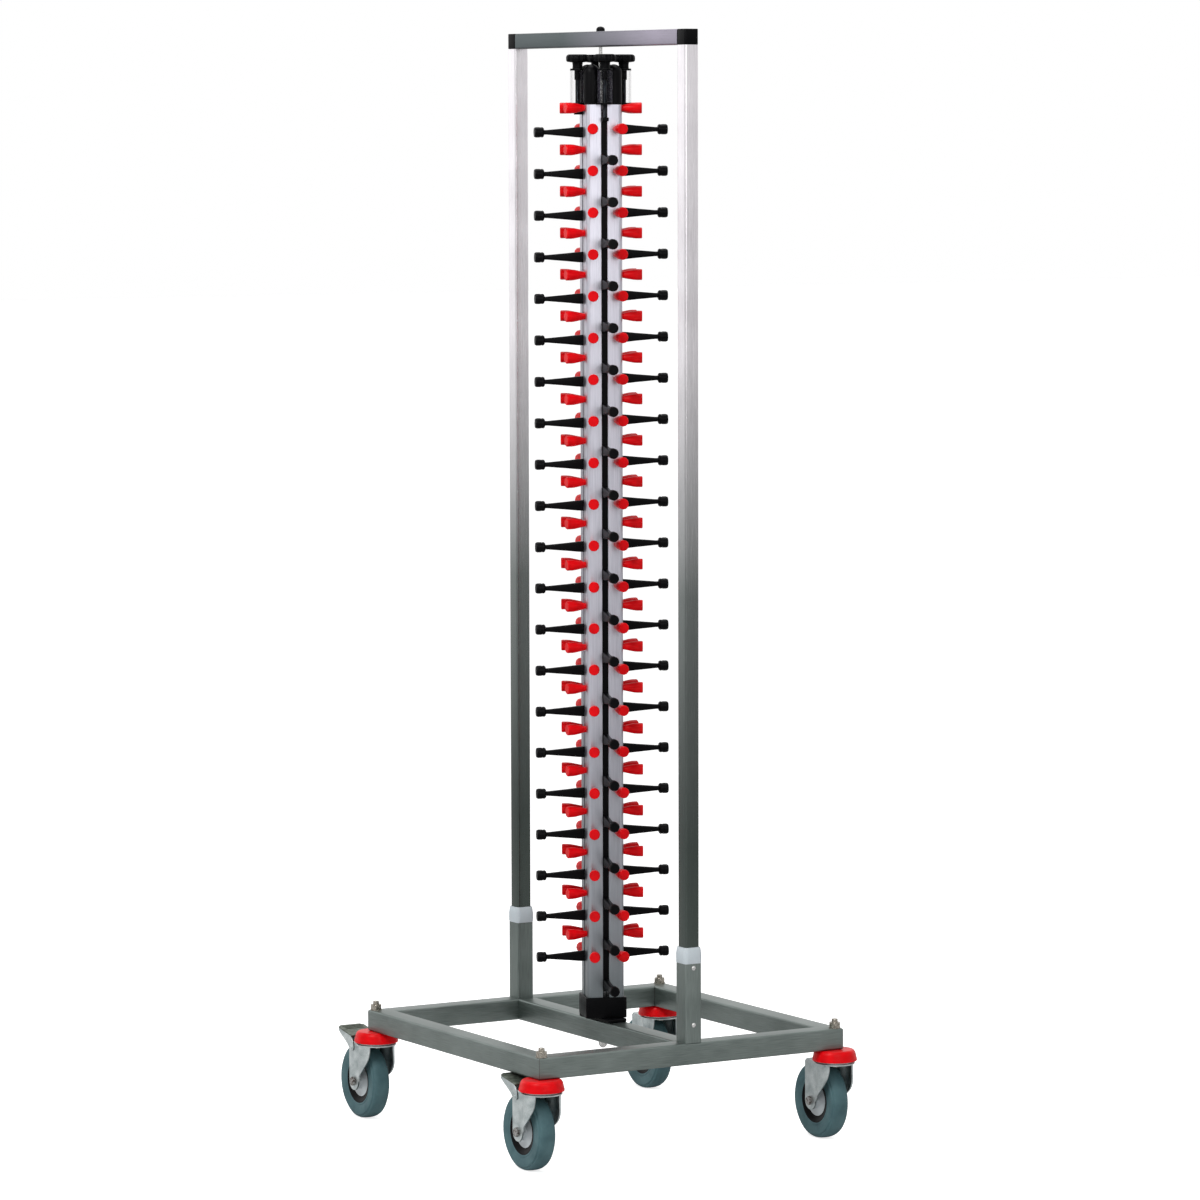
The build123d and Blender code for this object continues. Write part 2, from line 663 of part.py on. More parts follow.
leg_outline = (
    (-CROWN_BACK + 3, CROWN_BOTTOM),
    (-CROWN_BACK, WHEEL_RADIUS + 13),
    (-TRAIL - FORK_EYE, WHEEL_RADIUS),
    (-TRAIL - FORK_EYE * 0.7, WHEEL_RADIUS - FORK_EYE * 0.7),
    (-TRAIL, WHEEL_RADIUS - FORK_EYE),
    (-TRAIL + FORK_EYE * 0.7, WHEEL_RADIUS - FORK_EYE * 0.7),
    (-TRAIL + FORK_EYE, WHEEL_RADIUS),
    *LEG_FRONT,
    (CROWN_FRONT, CROWN_BOTTOM),
)
pin_x, pin_z = PEDAL_PIVOT
cheek_outline = (
    (-TREAD_FRONT, TREAD_BOTTOM),
    (CHEEK_BACK, TREAD_BOTTOM),
    (CHEEK_BACK, TREAD_BOTTOM - CHEEK_DEPTH),
    (pin_x - CHEEK_EYE, pin_z - CHEEK_EYE / 2),
    (pin_x - CHEEK_EYE / 2, pin_z - CHEEK_EYE),
    (pin_x + CHEEK_EYE / 2, pin_z - CHEEK_EYE),
    (pin_x + CHEEK_EYE, pin_z),
)


def leg_plan(side, offset):
    """Points of a leg's face from its back end to its front, on one side of the wheel."""
    flat = side * (FORK_OUTER - offset)
    radius = FORK_BELLY - offset
    belly = [
        (radius * cos(radians(turn)), side * radius * sin(radians(turn))) for turn in BELLY_ANGLES
    ]
    return [(-CROWN_BACK, flat), (LEG_BEND, flat), *belly]


half_side = 180 / WHEEL_SIDES
shoulder = (TYRE_WIDTH - TREAD_WIDTH) / 2
with BuildPart() as half_tyre:
    with BuildSketch(Plane.XY):
        RegularPolygon(WHEEL_RADIUS, WHEEL_SIDES, False, rotation=half_side)
    extrude(amount=TREAD_WIDTH / 2)
    with BuildSketch(Plane.XY.offset(TREAD_WIDTH / 2)):
        RegularPolygon(WHEEL_RADIUS, WHEEL_SIDES, False, rotation=half_side)
    extrude(amount=shoulder, taper=degrees(atan2(WHEEL_RADIUS - TYRE_SHOULDER, shoulder)))

with BuildPart() as fork_legs:
    for side in (-1, 1):
        with BuildSketch(Plane.XY.offset(WHEEL_RADIUS - FORK_EYE)) as leg_band:
            with BuildLine():
                Polyline(*leg_plan(side, 0), *reversed(leg_plan(side, FORK_PLATE)), close=True)
            make_face()
        extrude(leg_band.sketch, amount=CROWN_BOTTOM - WHEEL_RADIUS + FORK_EYE)
    with BuildSketch(Plane.XZ.offset(-CROWN_RADIUS)) as leg_side:
        with BuildLine():
            Polyline(*leg_outline, close=True)
        make_face()
        with Locations((-TRAIL, WHEEL_RADIUS)):
            RegularPolygon(AXLE_RADIUS, SHAFT_SIDES, mode=Mode.SUBTRACT)
    extrude(leg_side.sketch, amount=2 * CROWN_RADIUS, mode=Mode.INTERSECT)

for name, (x, y) in CASTORS.items():
    with BuildPart() as fork:
        with BuildSketch(Plane((x, y, CROWN_BOTTOM))):
            RegularPolygon(CROWN_RADIUS, DISC_SIDES)
            Rectangle(CROWN_BACK, 2 * FORK_OUTER, align=(Align.MAX, Align.CENTER))
        extrude(amount=FORK_PLATE)
        disc(RACE_RADIUS, CROWN_TOP, CROWN_TOP + RACE_HEIGHT, DISC_SIDES, ((x, y),))
        hole(
            KING_RADIUS + KING_FIT, CROWN_BOTTOM, CROWN_TOP + RACE_HEIGHT, SHAFT_SIDES, ((x, y),)
        )
        with Locations((x, y, 0)):
            add(fork_legs.part)
        for leg in (-1, 1):
            if name in BRAKED:
                with BuildSketch(side_view(name, leg * FORK_OUTER)):
                    with Locations(PEDAL_PIVOT):
                        RegularPolygon(PIN_RADIUS, SHAFT_SIDES)
                extrude(amount=-leg * (PIN_END - FORK_OUTER))
    save(fork.part, f"fork_{name}")

    with BuildPart() as axle:
        with BuildSketch(side_view(name, 0)):
            with Locations((-TRAIL, WHEEL_RADIUS)):
                RegularPolygon(AXLE_RADIUS, SHAFT_SIDES)
        extrude(amount=FORK_OUTER, both=True)
        for leg in (-1, 1):
            with BuildSketch(side_view(name, leg * FORK_OUTER)):
                with Locations((-TRAIL, WHEEL_RADIUS)):
                    RegularPolygon(AXLE_FLATS / 2, 6, major_radius=False)
            extrude(amount=-leg * AXLE_HEAD)
    save(axle.part, f"axle_{name}")

    with BuildPart() as wheel_centre:
        for radius, width, sides in (
            (RIM_RADIUS, RIM_WIDTH, WHEEL_SIDES), (HUB_RADIUS, HUB_WIDTH, DISC_SIDES),
        ):
            with BuildSketch(side_view(name, 0)):
                with Locations((-TRAIL, WHEEL_RADIUS)):
                    RegularPolygon(radius, sides, rotation=180 / sides)
            extrude(amount=width / 2, both=True)
        with BuildSketch(side_view(name, 0)):
            with Locations((-TRAIL, WHEEL_RADIUS)):
                RegularPolygon(AXLE_RADIUS + AXLE_FIT, SHAFT_SIDES, False)
        extrude(amount=HUB_WIDTH / 2, both=True, mode=Mode.SUBTRACT)
    save(wheel_centre.part, f"wheel_centre_{name}")

    with BuildPart() as tyre:
        for outward in (-1, 1):
            hub_plane = Plane((x - TRAIL, y, WHEEL_RADIUS), (1, 0, 0), (0, outward, 0))
            with Locations(hub_plane.location):
                add(half_tyre.part)
        with BuildSketch(side_view(name, 0)):
            with Locations((-TRAIL, WHEEL_RADIUS)):
                RegularPolygon(RIM_RADIUS, WHEEL_SIDES, rotation=half_side)
        extrude(amount=TYRE_WIDTH / 2, both=True, mode=Mode.SUBTRACT)
    save(tyre.part, f"tyre_{name}")

    if name in BRAKED:
        with BuildPart() as brake_pedal:
            with BuildSketch(Plane((x, y, TREAD_BOTTOM))):
                with Locations((-TREAD_FRONT, 0)):
                    Rectangle(
                        TREAD_BACK - TREAD_FRONT, 2 * (CHEEK_INNER + CHEEK),
                        align=(Align.MAX, Align.CENTER),
                    )
            extrude(amount=TREAD_PLATE)
            with BuildSketch(Plane((x, y, SHOE_BOTTOM))):
                with Locations((-SHOE_FRONT, 0)):
                    Rectangle(
                        SHOE_BACK - SHOE_FRONT, SHOE_WIDTH, align=(Align.MAX, Align.CENTER)
                    )
            extrude(amount=TREAD_BOTTOM - SHOE_BOTTOM)
            for leg in (-1, 1):
                with BuildSketch(side_view(name, leg * CHEEK_INNER)):
                    with BuildLine():
                        Polyline(*cheek_outline, close=True)
                    make_face()
                    with Locations(PEDAL_PIVOT):
                        RegularPolygon(
                            PIN_RADIUS + PIN_FIT, SHAFT_SIDES, False, mode=Mode.SUBTRACT
                        )
                extrude(amount=-leg * CHEEK)
        save(brake_pedal.part, f"brake_pedal_{name}")
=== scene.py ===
"""Looks of the plate rack cart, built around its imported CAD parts. Metres, +Z up."""

import bmesh
import bpy
import numpy as np
from mathutils import Matrix, Vector


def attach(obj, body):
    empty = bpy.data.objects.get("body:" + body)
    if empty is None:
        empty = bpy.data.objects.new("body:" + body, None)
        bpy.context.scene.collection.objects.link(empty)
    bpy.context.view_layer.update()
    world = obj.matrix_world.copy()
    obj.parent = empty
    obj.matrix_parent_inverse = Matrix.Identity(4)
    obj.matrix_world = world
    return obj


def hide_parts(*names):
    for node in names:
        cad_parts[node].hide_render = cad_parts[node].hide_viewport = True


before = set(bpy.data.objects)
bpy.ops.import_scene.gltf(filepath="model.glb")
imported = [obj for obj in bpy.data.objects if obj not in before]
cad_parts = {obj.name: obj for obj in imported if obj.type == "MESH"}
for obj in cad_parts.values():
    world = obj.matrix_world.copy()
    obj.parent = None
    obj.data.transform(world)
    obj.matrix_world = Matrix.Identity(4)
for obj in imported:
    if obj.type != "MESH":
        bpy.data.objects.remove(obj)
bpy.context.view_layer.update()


# ---- Base frame ----------------------------------------------------------------------
# Four lengths of ground stainless square tube, mitred and welded into a flat square,
# with a cross beam between the front and back ones. A tube is a rounded square that is
# carried along its length; the grinding runs along it.

frame_half = 0.285
frame_bottom = 0.151
frame_top = 0.186
rail_side = frame_top - frame_bottom
rail_corner = 0.003
steel_dark = (0.105, 0.127, 0.119, 1)
steel_light = (0.22, 0.252, 0.24, 1)
weld_width = 0.0012


class Field:
    """A value that varies over a surface: a node's output, on which arithmetic adds nodes."""

    def __init__(self, tree, socket=None):
        self.tree = tree
        self.socket = socket

    def node(self, kind, settings, inputs, output=0):
        """Adds a node: its settings first, then the values or links of its sockets."""
        made = self.tree.nodes.new(kind)
        for name, value in settings.items():
            setattr(made, name, value)
        for name, value in inputs.items():
            if isinstance(value, Field):
                self.tree.links.new(value.socket, made.inputs[name])
            else:
                made.inputs[name].default_value = value
        return Field(self.tree, made.outputs[output])

    def maths(self, operation, *others):
        return self.node("ShaderNodeMath", {"operation": operation}, dict(enumerate((self, *others))))

    def __add__(self, other):
        return self.maths("ADD", other)

    def __sub__(self, other):
        return self.maths("SUBTRACT", other)

    def __rsub__(self, other):
        return self.node("ShaderNodeMath", {"operation": "SUBTRACT"}, {0: other, 1: self})

    def __mul__(self, other):
        return self.maths("MULTIPLY", other)

    def __abs__(self):
        return self.maths("ABSOLUTE")

    __radd__ = __add__
    __rmul__ = __mul__

    def clipped(self, low, high):
        """0 below low, 1 above high and a straight line between them."""
        return self.node(
            "ShaderNodeMapRange", {"clamp": True}, {"Value": self, "From Min": low, "From Max": high}
        )

    def mix(self, first, second):
        """The first colour where this value is 0 and the second where it is 1."""
        return self.node(
            "ShaderNodeMix", {"data_type": "RGBA"}, {0: self, 6: first, 7: second}, output=2
        )

    def axis(self, name):
        return self.node("ShaderNodeSeparateXYZ", {}, {0: self}, "XYZ".index(name))

    def noise(self, scale, stretch=(1, 1, 1), detail=2.0):
        """Cloudy values about 0.5, stretched along the axes with a small stretch value."""
        place = self.node("ShaderNodeMapping", {}, {"Vector": self, "Scale": stretch})
        return self.node("ShaderNodeTexNoise", {}, {"Vector": place, "Scale": scale, "Detail": detail})


def finish(name, paint):
    """A material whose Principled sockets come from paint, a function of the place."""
    made = bpy.data.materials.new(name)
    made.use_nodes = True
    tree = made.node_tree
    tree.nodes.clear()
    place = Field(tree).node("ShaderNodeTexCoord", {}, {}, "Object")
    sockets = paint(place)
    height = sockets.pop("Height", None)
    depth = sockets.pop("Depth", 0.0002)
    if height is not None:
        sockets["Normal"] = place.node(
            "ShaderNodeBump", {}, {"Strength": 1.0, "Distance": depth, "Height": height}
        )
    shader = place.node("ShaderNodeBsdfPrincipled", {}, sockets)
    tree.links.new(shader.socket, tree.nodes.new("ShaderNodeOutputMaterial").inputs["Surface"])
    return made


def ground_steel(name, along, dark, light, roughness, extra=None):
    """Ground steel: fine streaks along one axis, and faint broad clouds of stain."""
    stretch = tuple(0.02 if axis == along else 1.0 for axis in "XYZ")

    def paint(place):
        streaks = place.noise(1400.0, stretch, 3.0)
        clouds = place.noise(9.0, (1, 1, 1), 4.0)
        shade = (streaks * 0.55 + clouds * 0.45).clipped(0.32, 0.68)
        colour = shade.mix(dark, light)
        if extra:
            colour = extra(place, colour)
        return {
            "Base Color": colour, "Metallic": 1.0, "Roughness": streaks * 0.22 + roughness,
            "Height": streaks, "Depth": 0.00004,
        }

    return finish(name, paint)


def weld_line(place, colour):
    """Darkens a thin line where the mitres meet: where x and y are equally far out."""
    near = abs(abs(place.axis("X")) - abs(place.axis("Y"))).clipped(0.0, weld_width)
    return near.mix((0.09, 0.09, 0.085, 1), colour)


def rounded_square(width, depth, corner, arc=5):
    """Ring of points round a rectangle: each corner's centre plus the corner radius
    times (cos t, sin t), with t over that corner's quarter turn."""
    turn = np.arange(4)[:, None] * np.pi / 2 + np.linspace(0, np.pi / 2, arc + 1)
    x = np.array([1, -1, -1, 1])[:, None] * (width / 2 - corner) + corner * np.cos(turn)
    y = np.array([1, 1, -1, -1])[:, None] * (depth / 2 - corner) + corner * np.sin(turn)
    return np.stack([x, y], -1).reshape(-1, 2)


def piece(name, shells, material, body, replaced=(), loops=(), edge=32.0):
    """Makes one mesh, hangs it on its body and hides the CAD parts that it replaces. A shell's points
    are
    [row, around, xyz], or [copy, row, around, xyz]: quads join neighbouring rings and a
    flat face ends each shell. A loop is a shell whose last ring joins its first."""
    points, faces, start = [], [], 0
    for shell, wraps in [(s, False) for s in shells] + [(s, True) for s in loops]:
        shell = shell if shell.ndim == 4 else shell[None]
        index = start + np.arange(shell[..., 0].size).reshape(shell.shape[:3])
        start += index.size
        points.append(shell.reshape(-1, 3))
        rows = np.concatenate([index, index[:, :1]], 1) if wraps else index
        turn = np.roll(rows, -1, 2)
        quads = np.stack([rows[:, :-1], turn[:, :-1], turn[:, 1:], rows[:, 1:]], -1)
        faces += quads.reshape(-1, 4).tolist()
        if not wraps:
            faces += index[:, 0, ::-1].tolist() + index[:, -1].tolist()
    mesh = bpy.data.meshes.new(name)
    mesh.from_pydata(np.concatenate(points), [], faces)
    tidy = bmesh.new()
    tidy.from_mesh(mesh)
    bmesh.ops.remove_doubles(tidy, verts=tidy.verts, dist=1e-6)
    bmesh.ops.recalc_face_normals(tidy, faces=tidy.faces)
    tidy.to_mesh(mesh)
    tidy.free()
    mesh.shade_smooth()
    mesh.set_sharp_from_angle(angle=np.radians(edge))
    mesh.materials.append(material)
    made = bpy.data.objects.new(name, mesh)
    bpy.context.scene.collection.objects.link(made)
    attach(made, body)
    if replaced:
        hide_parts(*replaced)
    return made


def raised(ring, height):
    """A flat ring of points lifted to a height."""
    return np.concatenate([ring, np.full((len(ring), 1), height)], 1)


def copies(shape, origins, axes):
    """Copies of a shape: each is its origin plus the shape's x, y and z along its axes."""
    return origins[:, None, None] + np.einsum("rak,ckj->craj", shape, axes)


steel_x = ground_steel("ground steel along X", "X", steel_dark, steel_light, 0.3, weld_line)
steel_y = ground_steel("ground steel along Y", "Y", steel_dark, steel_light, 0.3, weld_line)

rail_ring = rounded_square(rail_side, rail_side, rail_corner)
rail_out = rail_ring[:, 0] + frame_half - rail_side / 2
rail_high = rail_ring[:, 1] + frame_bottom + rail_side / 2
rail = np.stack([np.stack([rail_out, end * rail_out, rail_high], -1) for end in (-1, 1)])
for name, (x, y), metal in (
    ("front", (1, 0), steel_y), ("right", (0, 1), steel_x),
    ("back", (-1, 0), steel_y), ("left", (0, -1), steel_x),
):
    outward = np.array([[[x, y, 0], [-y, x, 0], [0, 0, 1]]], float)
    piece(f"tube_{name}", [copies(rail, np.zeros((1, 3)), outward)], metal, "base",
          [f"rail_{name}"])

beam_end = frame_half - rail_side
beam = np.stack([
    np.stack([np.full(len(rail_ring), x), rail_ring[:, 0], rail_high], -1)
    for x in (-beam_end, beam_end)
])
piece("beam", [beam], ground_steel("ground beam", "X", steel_dark, steel_light, 0.3), "base",
      ["cross_beam"])


# ---- Sockets and their screws --------------------------------------------------------
# Short square tubes welded on the middles of the front and back rails, which the
# uprights drop into. Two small domed screws on each outer side hold the upright.

upright_x = 0.27
socket_side = 0.030
socket_wall = 0.002
socket_corner = 0.0025
socket_top = 0.314
bore_side = socket_side - 2 * socket_wall
bore_corner = 0.001
screw_heights = (0.215, 0.307)
screw_rows = [
    # radius, rise over the socket
    (0.0038, 0), (0.0038, 0.0006), (0.003, 0.0014), (0.0014, 0.0018), (0, 0.0018),
]

socket_outer = rounded_square(socket_side, socket_side, socket_corner)
socket_inner = rounded_square(bore_side, bore_side, bore_corner)
socket = np.stack([
    raised(socket_outer, frame_top), raised(socket_outer, socket_top),
    raised(socket_inner, socket_top), raised(socket_inner, frame_top),
])
upright_origins = np.array([[upright_x, 0, 0], [-upright_x, 0, 0]])
upright_ways = np.array([np.eye(3), np.diag([-1.0, -1.0, 1.0])])
steel_z = ground_steel("ground steel along Z", "Z", steel_dark, steel_light, 0.3)
piece("socket_tubes", [], steel_z, "base", ["upright_sockets"],
      loops=[copies(socket, upright_origins, upright_ways)])


def full_turn(sides):
    """Angles of a ring's points."""
    return np.linspace(0, 2 * np.pi, sides, endpoint=False)


def turned(radius, turn, height):
    """Points about Z: radius times (cos t, sin t) at the height of each row."""
    heights = np.repeat(height, len(turn), 1)
    return np.stack([radius * np.cos(turn), radius * np.sin(turn), heights], -1)


def spun(profile, sides):
    """Surface of revolution about Z, from the (radius, height) of each ring."""
    radius, height = np.array(profile, float).T[:, :, None]
    return turned(radius, full_turn(sides), height)


def plated(dull, clean):
    """Paint of plated steel: nearly smooth, with small scuffs that dull it."""
    def paint(place):
        scuffs = place.noise(420.0, (1, 1, 1), 4.0)
        return {
            "Base Color": scuffs.clipped(0.3, 0.7).mix(dull, clean), "Metallic": 1.0,
            "Roughness": scuffs * 0.25 + 0.12, "Height": scuffs, "Depth": 0.00003,
        }
    return paint


bright = finish("bright steel", plated((0.42, 0.42, 0.42, 1), (0.62, 0.62, 0.6, 1)))
screw = spun(screw_rows, sides=20)
# The screws' axes point outwards, along +X and along -X.
screw_ways = np.array([[[0, 1, 0], [0, 0, 1], [1, 0, 0]], [[0, -1, 0], [0, 0, 1], [-1, 0, 0]]])
screw_places = np.array([
    [side * frame_half, 0, height] for side in (1, -1) for height in screw_heights
])
piece("screw_heads", [copies(screw, screw_places, screw_ways[[0, 0, 1, 1]])], bright, "base",
      ["socket_screws"])


# ---- Collars -------------------------------------------------------------------------
# Light grey moulded sleeves that fill the step between socket and upright. They belly
# out and draw in again to a thin mouth; each row is a rounded square of its own size.

upright_side = 0.025
upright_corner = 0.003
collar_play = 0.0004
collar_rows = (
    # rise over the socket, side, corner
    (0.0, 0.0308, 0.004), (0.003, 0.0328, 0.006), (0.008, 0.0340, 0.008),
    (0.015, 0.0340, 0.008), (0.021, 0.0322, 0.007), (0.025, 0.0298, 0.005), (0.026, 0.0288, 0.004),
)


def moulded(base, speck, roughness, grain=900.0, gloss=0.5):
    """Paint of a moulding: one colour with faint specks, on a finely textured skin."""
    def paint(place):
        skin = place.noise(grain, (1, 1, 1), 3.0)
        tone = place.noise(16.0, (1, 1, 1), 3.0)
        return {
            "Base Color": (skin * 0.4 + tone * 0.6).clipped(0.35, 0.65).mix(base, speck),
            "Roughness": skin * 0.15 + roughness, "Height": skin, "Depth": 0.00003,
            "Specular IOR Level": gloss,
        }
    return paint


collar_grey = finish(
    "light grey moulding", moulded((0.5, 0.56, 0.6, 1), (0.58, 0.64, 0.68, 1), 0.35)
)
mouth_side = upright_side + collar_play
mouth = rounded_square(mouth_side, mouth_side, upright_corner)
collar = np.stack([
    raised(rounded_square(side, side, corner), socket_top + rise) for rise, side, corner in collar_rows
] + [raised(mouth, socket_top + collar_rows[-1][0]), raised(mouth, socket_top)])
piece("collar_sleeves", [], collar_grey, "base", ["collars"],
      loops=[copies(collar, upright_origins, upright_ways)])


# ---- Portal --------------------------------------------------------------------------
# Two uprights and a crossbar of thinner ground stainless tube. Black knuckles join them
# at the corners, flush with the tubes and slightly rounded on every edge.

top = 1.8
upright_top = top - upright_side
knuckle_edge = 0.0012
upright_ring = rounded_square(upright_side, upright_side, upright_corner)


def painted_reflection_ramp(place, colour):
    """A painted reflection up the uprights: dull and greenish low down, bright above."""
    height = place.axis("Z")
    dull = height.clipped(0.5, 1.1).mix((0.075, 0.09, 0.083, 1), (0.26, 0.28, 0.275, 1))
    return height.clipped(0.9, 1.3).mix(dull, colour)


def crossbar_painted_reflection(place, colour):
    """A painted reflection along the crossbar: greener and duller towards the back upright."""
    along = place.axis("X").clipped(-0.1, 0.2)
    return along.mix((0.085, 0.103, 0.107, 1), colour)


# The uprights' light lavender base colour is partly a painted reflection, much lighter than the
# frame's ground steel.
upright_steel = ground_steel(
    "ground upright", "Z", (0.66, 0.63, 0.66, 1), (0.9, 0.87, 0.9, 1), 0.14, painted_reflection_ramp
)
# The crossbar's lilac base colour is partly a painted reflection.
crossbar_steel = ground_steel(
    "ground crossbar", "X", (0.26, 0.24, 0.29, 1), (0.38, 0.345, 0.425, 1), 0.26, crossbar_painted_reflection
)
upright = np.stack([raised(upright_ring, frame_top), raised(upright_ring, upright_top)])
piece("upright_tubes", [copies(upright, upright_origins, upright_ways)], upright_steel, "base",
      ["uprights"])

crossbar_end = upright_x - upright_side / 2
crossbar_high = upright_ring[:, 1] + top - upright_side / 2
crossbar = np.stack([
    np.stack([np.full(len(upright_ring), x), upright_ring[:, 0], crossbar_high], -1)
    for x in (-crossbar_end, crossbar_end)
])
piece("crossbar_tube", [crossbar], crossbar_steel, "base", ["crossbar"])


def block(width, depth, low, high, corner, edge):
    """Upright block with round corners and edges. Near each end the outline shrinks by
    edge times (1 - sin t) as it goes edge times (1 - cos t) towards that end."""
    turn = np.linspace(0, np.pi / 2, 4)
    inset = edge * (1 - np.sin(turn))
    rise = edge * (1 - np.cos(turn))
    heights = np.concatenate([low + rise, high - rise[::-1]])
    insets = np.concatenate([inset, inset[::-1]])
    return np.stack([
        raised(rounded_square(width - 2 * i, depth - 2 * i, max(corner - i, edge * 0.3)), z)
        for z, i in zip(heights, insets)
    ])


black = finish(
    "black moulding", moulded((0.0015, 0.0015, 0.002, 1), (0.003, 0.003, 0.0036, 1), 0.3, gloss=0.06)
)
knuckle = block(upright_side, upright_side, upright_top, top, upright_corner, knuckle_edge)
piece("corner_knuckles", [copies(knuckle, upright_origins, upright_ways)], black, "base",
      ["corner_joints"])


# ---- Tie rod -------------------------------------------------------------------------
# A thin bright rod from the cross beam to the crossbar, which the column turns on. A
# black domed cap closes it above the crossbar and a bright domed nut below the beam.

rod_radius = 0.003
rod_low = frame_bottom - 0.008
rod_high = top + 0.003
cap_radius = 0.007
cap_rim = 0.003
cap_rise = 0.005
rod_nut_radius = 0.0075
rod_nut_rim = 0.004
rod_nut_rise = 0.009

rod = spun([(rod_radius, rod_low), (rod_radius, rod_high)], sides=20)
piece("rod", [rod], bright, "base", ["tie_rod"])


def dome(radius, rim, rise, rows=7):
    """Profile of a cap: a straight rim, and on it radius times cos t at rise times sin t."""
    turn = np.linspace(0, np.pi / 2, rows)
    crown = np.stack([radius * np.cos(turn), rim + rise * np.sin(turn)], -1)
    return np.concatenate([[(radius, 0)], crown])


cap = dome(cap_radius, cap_rim, cap_rise) + (0, top)
piece("rod_cap", [spun(cap, sides=24)], black, "base", ["cap_nut"])
rod_nut = dome(rod_nut_radius, rod_nut_rim, rod_nut_rise) * (1, -1) + (0, frame_bottom)
piece("rod_dome", [spun(rod_nut, sides=24)], bright, "base", ["rod_nut"])


# ---- Column --------------------------------------------------------------------------
# A black foot block, four aluminium profiles with a slot between each two, and a black
# head. The profiles' outer corners are broad curves; each slot has two grooves and lips.

column_turn = np.radians(-20)
pad_length = 0.1
pad_width = 0.034
pad_top = 0.192
pad_edge = 0.0015
foot_side = 0.068
foot_edge = 0.0012
block_corner = 0.004
column_low = 0.226
column_high = 1.682
column_half = 0.0305
slot_half = 0.00575
profile_corner = 0.008
profile_edge = 0.0006
groove = (0.018, 0.022)
groove_depth = 0.003
lip_inside = 0.0285
lip_half = 0.0049


def facing(angles):
    """Axes turned about Z: x along (cos a, sin a), y a quarter turn on, z up."""
    c, s, o = np.cos(angles), np.sin(angles), np.zeros_like(angles)
    return np.stack([
        np.stack([c, s, o], -1), np.stack([-s, c, o], -1), np.stack([o, o, o + 1], -1)
    ], 1)


quarter = column_turn + np.arange(4) * np.pi / 2
nowhere = np.zeros((4, 3))
pad = block(pad_length, pad_width, frame_top, pad_top, block_corner, pad_edge)
piece("pad", [pad], black, "base", ["column_pad"])
foot = block(foot_side, foot_side, pad_top, column_low, block_corner, foot_edge)
piece("foot", [copies(foot, nowhere[:1], facing(quarter[:1]))], black, "column",
      ["column_foot"])

half_outline = [
    (slot_half, slot_half), (groove[0], slot_half), (groove[0], slot_half + groove_depth),
    (groove[1], slot_half + groove_depth), (groove[1], slot_half), (lip_inside, slot_half),
    (lip_inside, lip_half), (column_half - profile_edge, lip_half),
    (column_half, lip_half + profile_edge),
]
sweep = np.linspace(0, np.pi / 2, 9)
unit_arc = np.stack([np.cos(sweep), np.sin(sweep)], -1)
corner_arc = column_half - profile_corner + profile_corner * unit_arc
outline = np.concatenate([half_outline, corner_arc, np.array(half_outline)[:0:-1, ::-1]])
profile = np.stack([raised(outline, column_low), raised(outline, column_high)])


def anodised(place):
    """Drawn aluminium: fine lines up the profile, and a duller tone low down."""
    lines = place.noise(1800.0, (1, 1, 0.01), 2.0)
    tone = place.noise(6.0, (1, 1, 0.4), 3.0)
    shade = (lines * 0.5 + tone * 0.5).clipped(0.35, 0.65)
    drawn = shade.mix((0.44, 0.44, 0.5, 1), (0.66, 0.65, 0.72, 1))
    # Darker and greener towards the bottom of the profiles, below 0.75 m.
    bottom_fade = place.axis("Z").clipped(0.15, 0.75)
    return {
        "Base Color": bottom_fade.mix((0.15, 0.175, 0.18, 1), drawn), "Metallic": 1.0,
        "Roughness": lines * 0.14 + 0.28, "Height": lines, "Depth": 0.00003,
    }


aluminium = finish("anodised profile", anodised)
piece("profiles", [copies(profile, nowhere, facing(quarter))], aluminium, "column",
      ["column_profiles"])

head_top = 1.685
post_out = 0.0181
post_radius = 0.0134
post_rim = 0.049
post_rise = 0.013
spindle_circle = 0.038
ear_radius = 0.0125


def ring_places(radius, angles):
    """Places on a circle round the column: radius times (cos a, sin a, 0)."""
    return radius * np.stack([np.cos(angles), np.sin(angles), np.zeros_like(angles)], -1)


post = spun(dome(post_radius, post_rim, post_rise, rows=9) + (0, head_top), sides=32)
post_places = ring_places(post_out * np.sqrt(2), quarter + np.pi / 4)
ear = spun([(ear_radius, column_high), (ear_radius, head_top)], sides=32)
spindle_places = ring_places(spindle_circle, quarter)
column_side = 2 * column_half
head_plate = block(column_side, column_side, column_high, head_top, profile_corner, profile_edge)
upright_axes = np.repeat(np.eye(3)[None], 4, 0)
piece("head", [
    copies(post, post_places, upright_axes), copies(ear, spindle_places, upright_axes),
    copies(head_plate, nowhere[:1], facing(quarter[:1])),
], black, "column", ["column_head"])


# ---- Clear sleeves -------------------------------------------------------------------
# Four short tubes of clear plastic on the head, one round each spindle. The knobs'
# flanges bear on their top edges.

sleeve_top = 1.737
sleeve_outer = 0.01225
sleeve_inner = 0.0105


def clear_plastic(place):
    """Clear plastic: faintly lavender, and more solid where it is seen edge on."""
    flow = place.noise(60.0, (1, 1, 0.1), 2.0)
    edge = place.node("ShaderNodeLayerWeight", {}, {"Blend": 0.14}, "Facing")
    return {
        "Base Color": flow.mix((0.14, 0.13, 0.18, 1), (0.22, 0.21, 0.27, 1)),
        "Roughness": flow * 0.1 + 0.05, "Alpha": edge * 0.5 + flow * 0.002,
    }


sleeve = spun([
    (sleeve_outer, head_top), (sleeve_outer, sleeve_top),
    (sleeve_inner, sleeve_top), (sleeve_inner, head_top),
], sides=40)
piece("clear_sleeves", [], finish("clear plastic", clear_plastic), "column", ["sleeves"],
      loops=[copies(sleeve, spindle_places, upright_axes)])


# ---- Pegs ----------------------------------------------------------------------------
# 168 glossy red pegs, two for each plate place. Each grows from a thin root to a fat
# plain end and leans outwards from its partner. Facing sides are half a pitch lower
# than the other two.

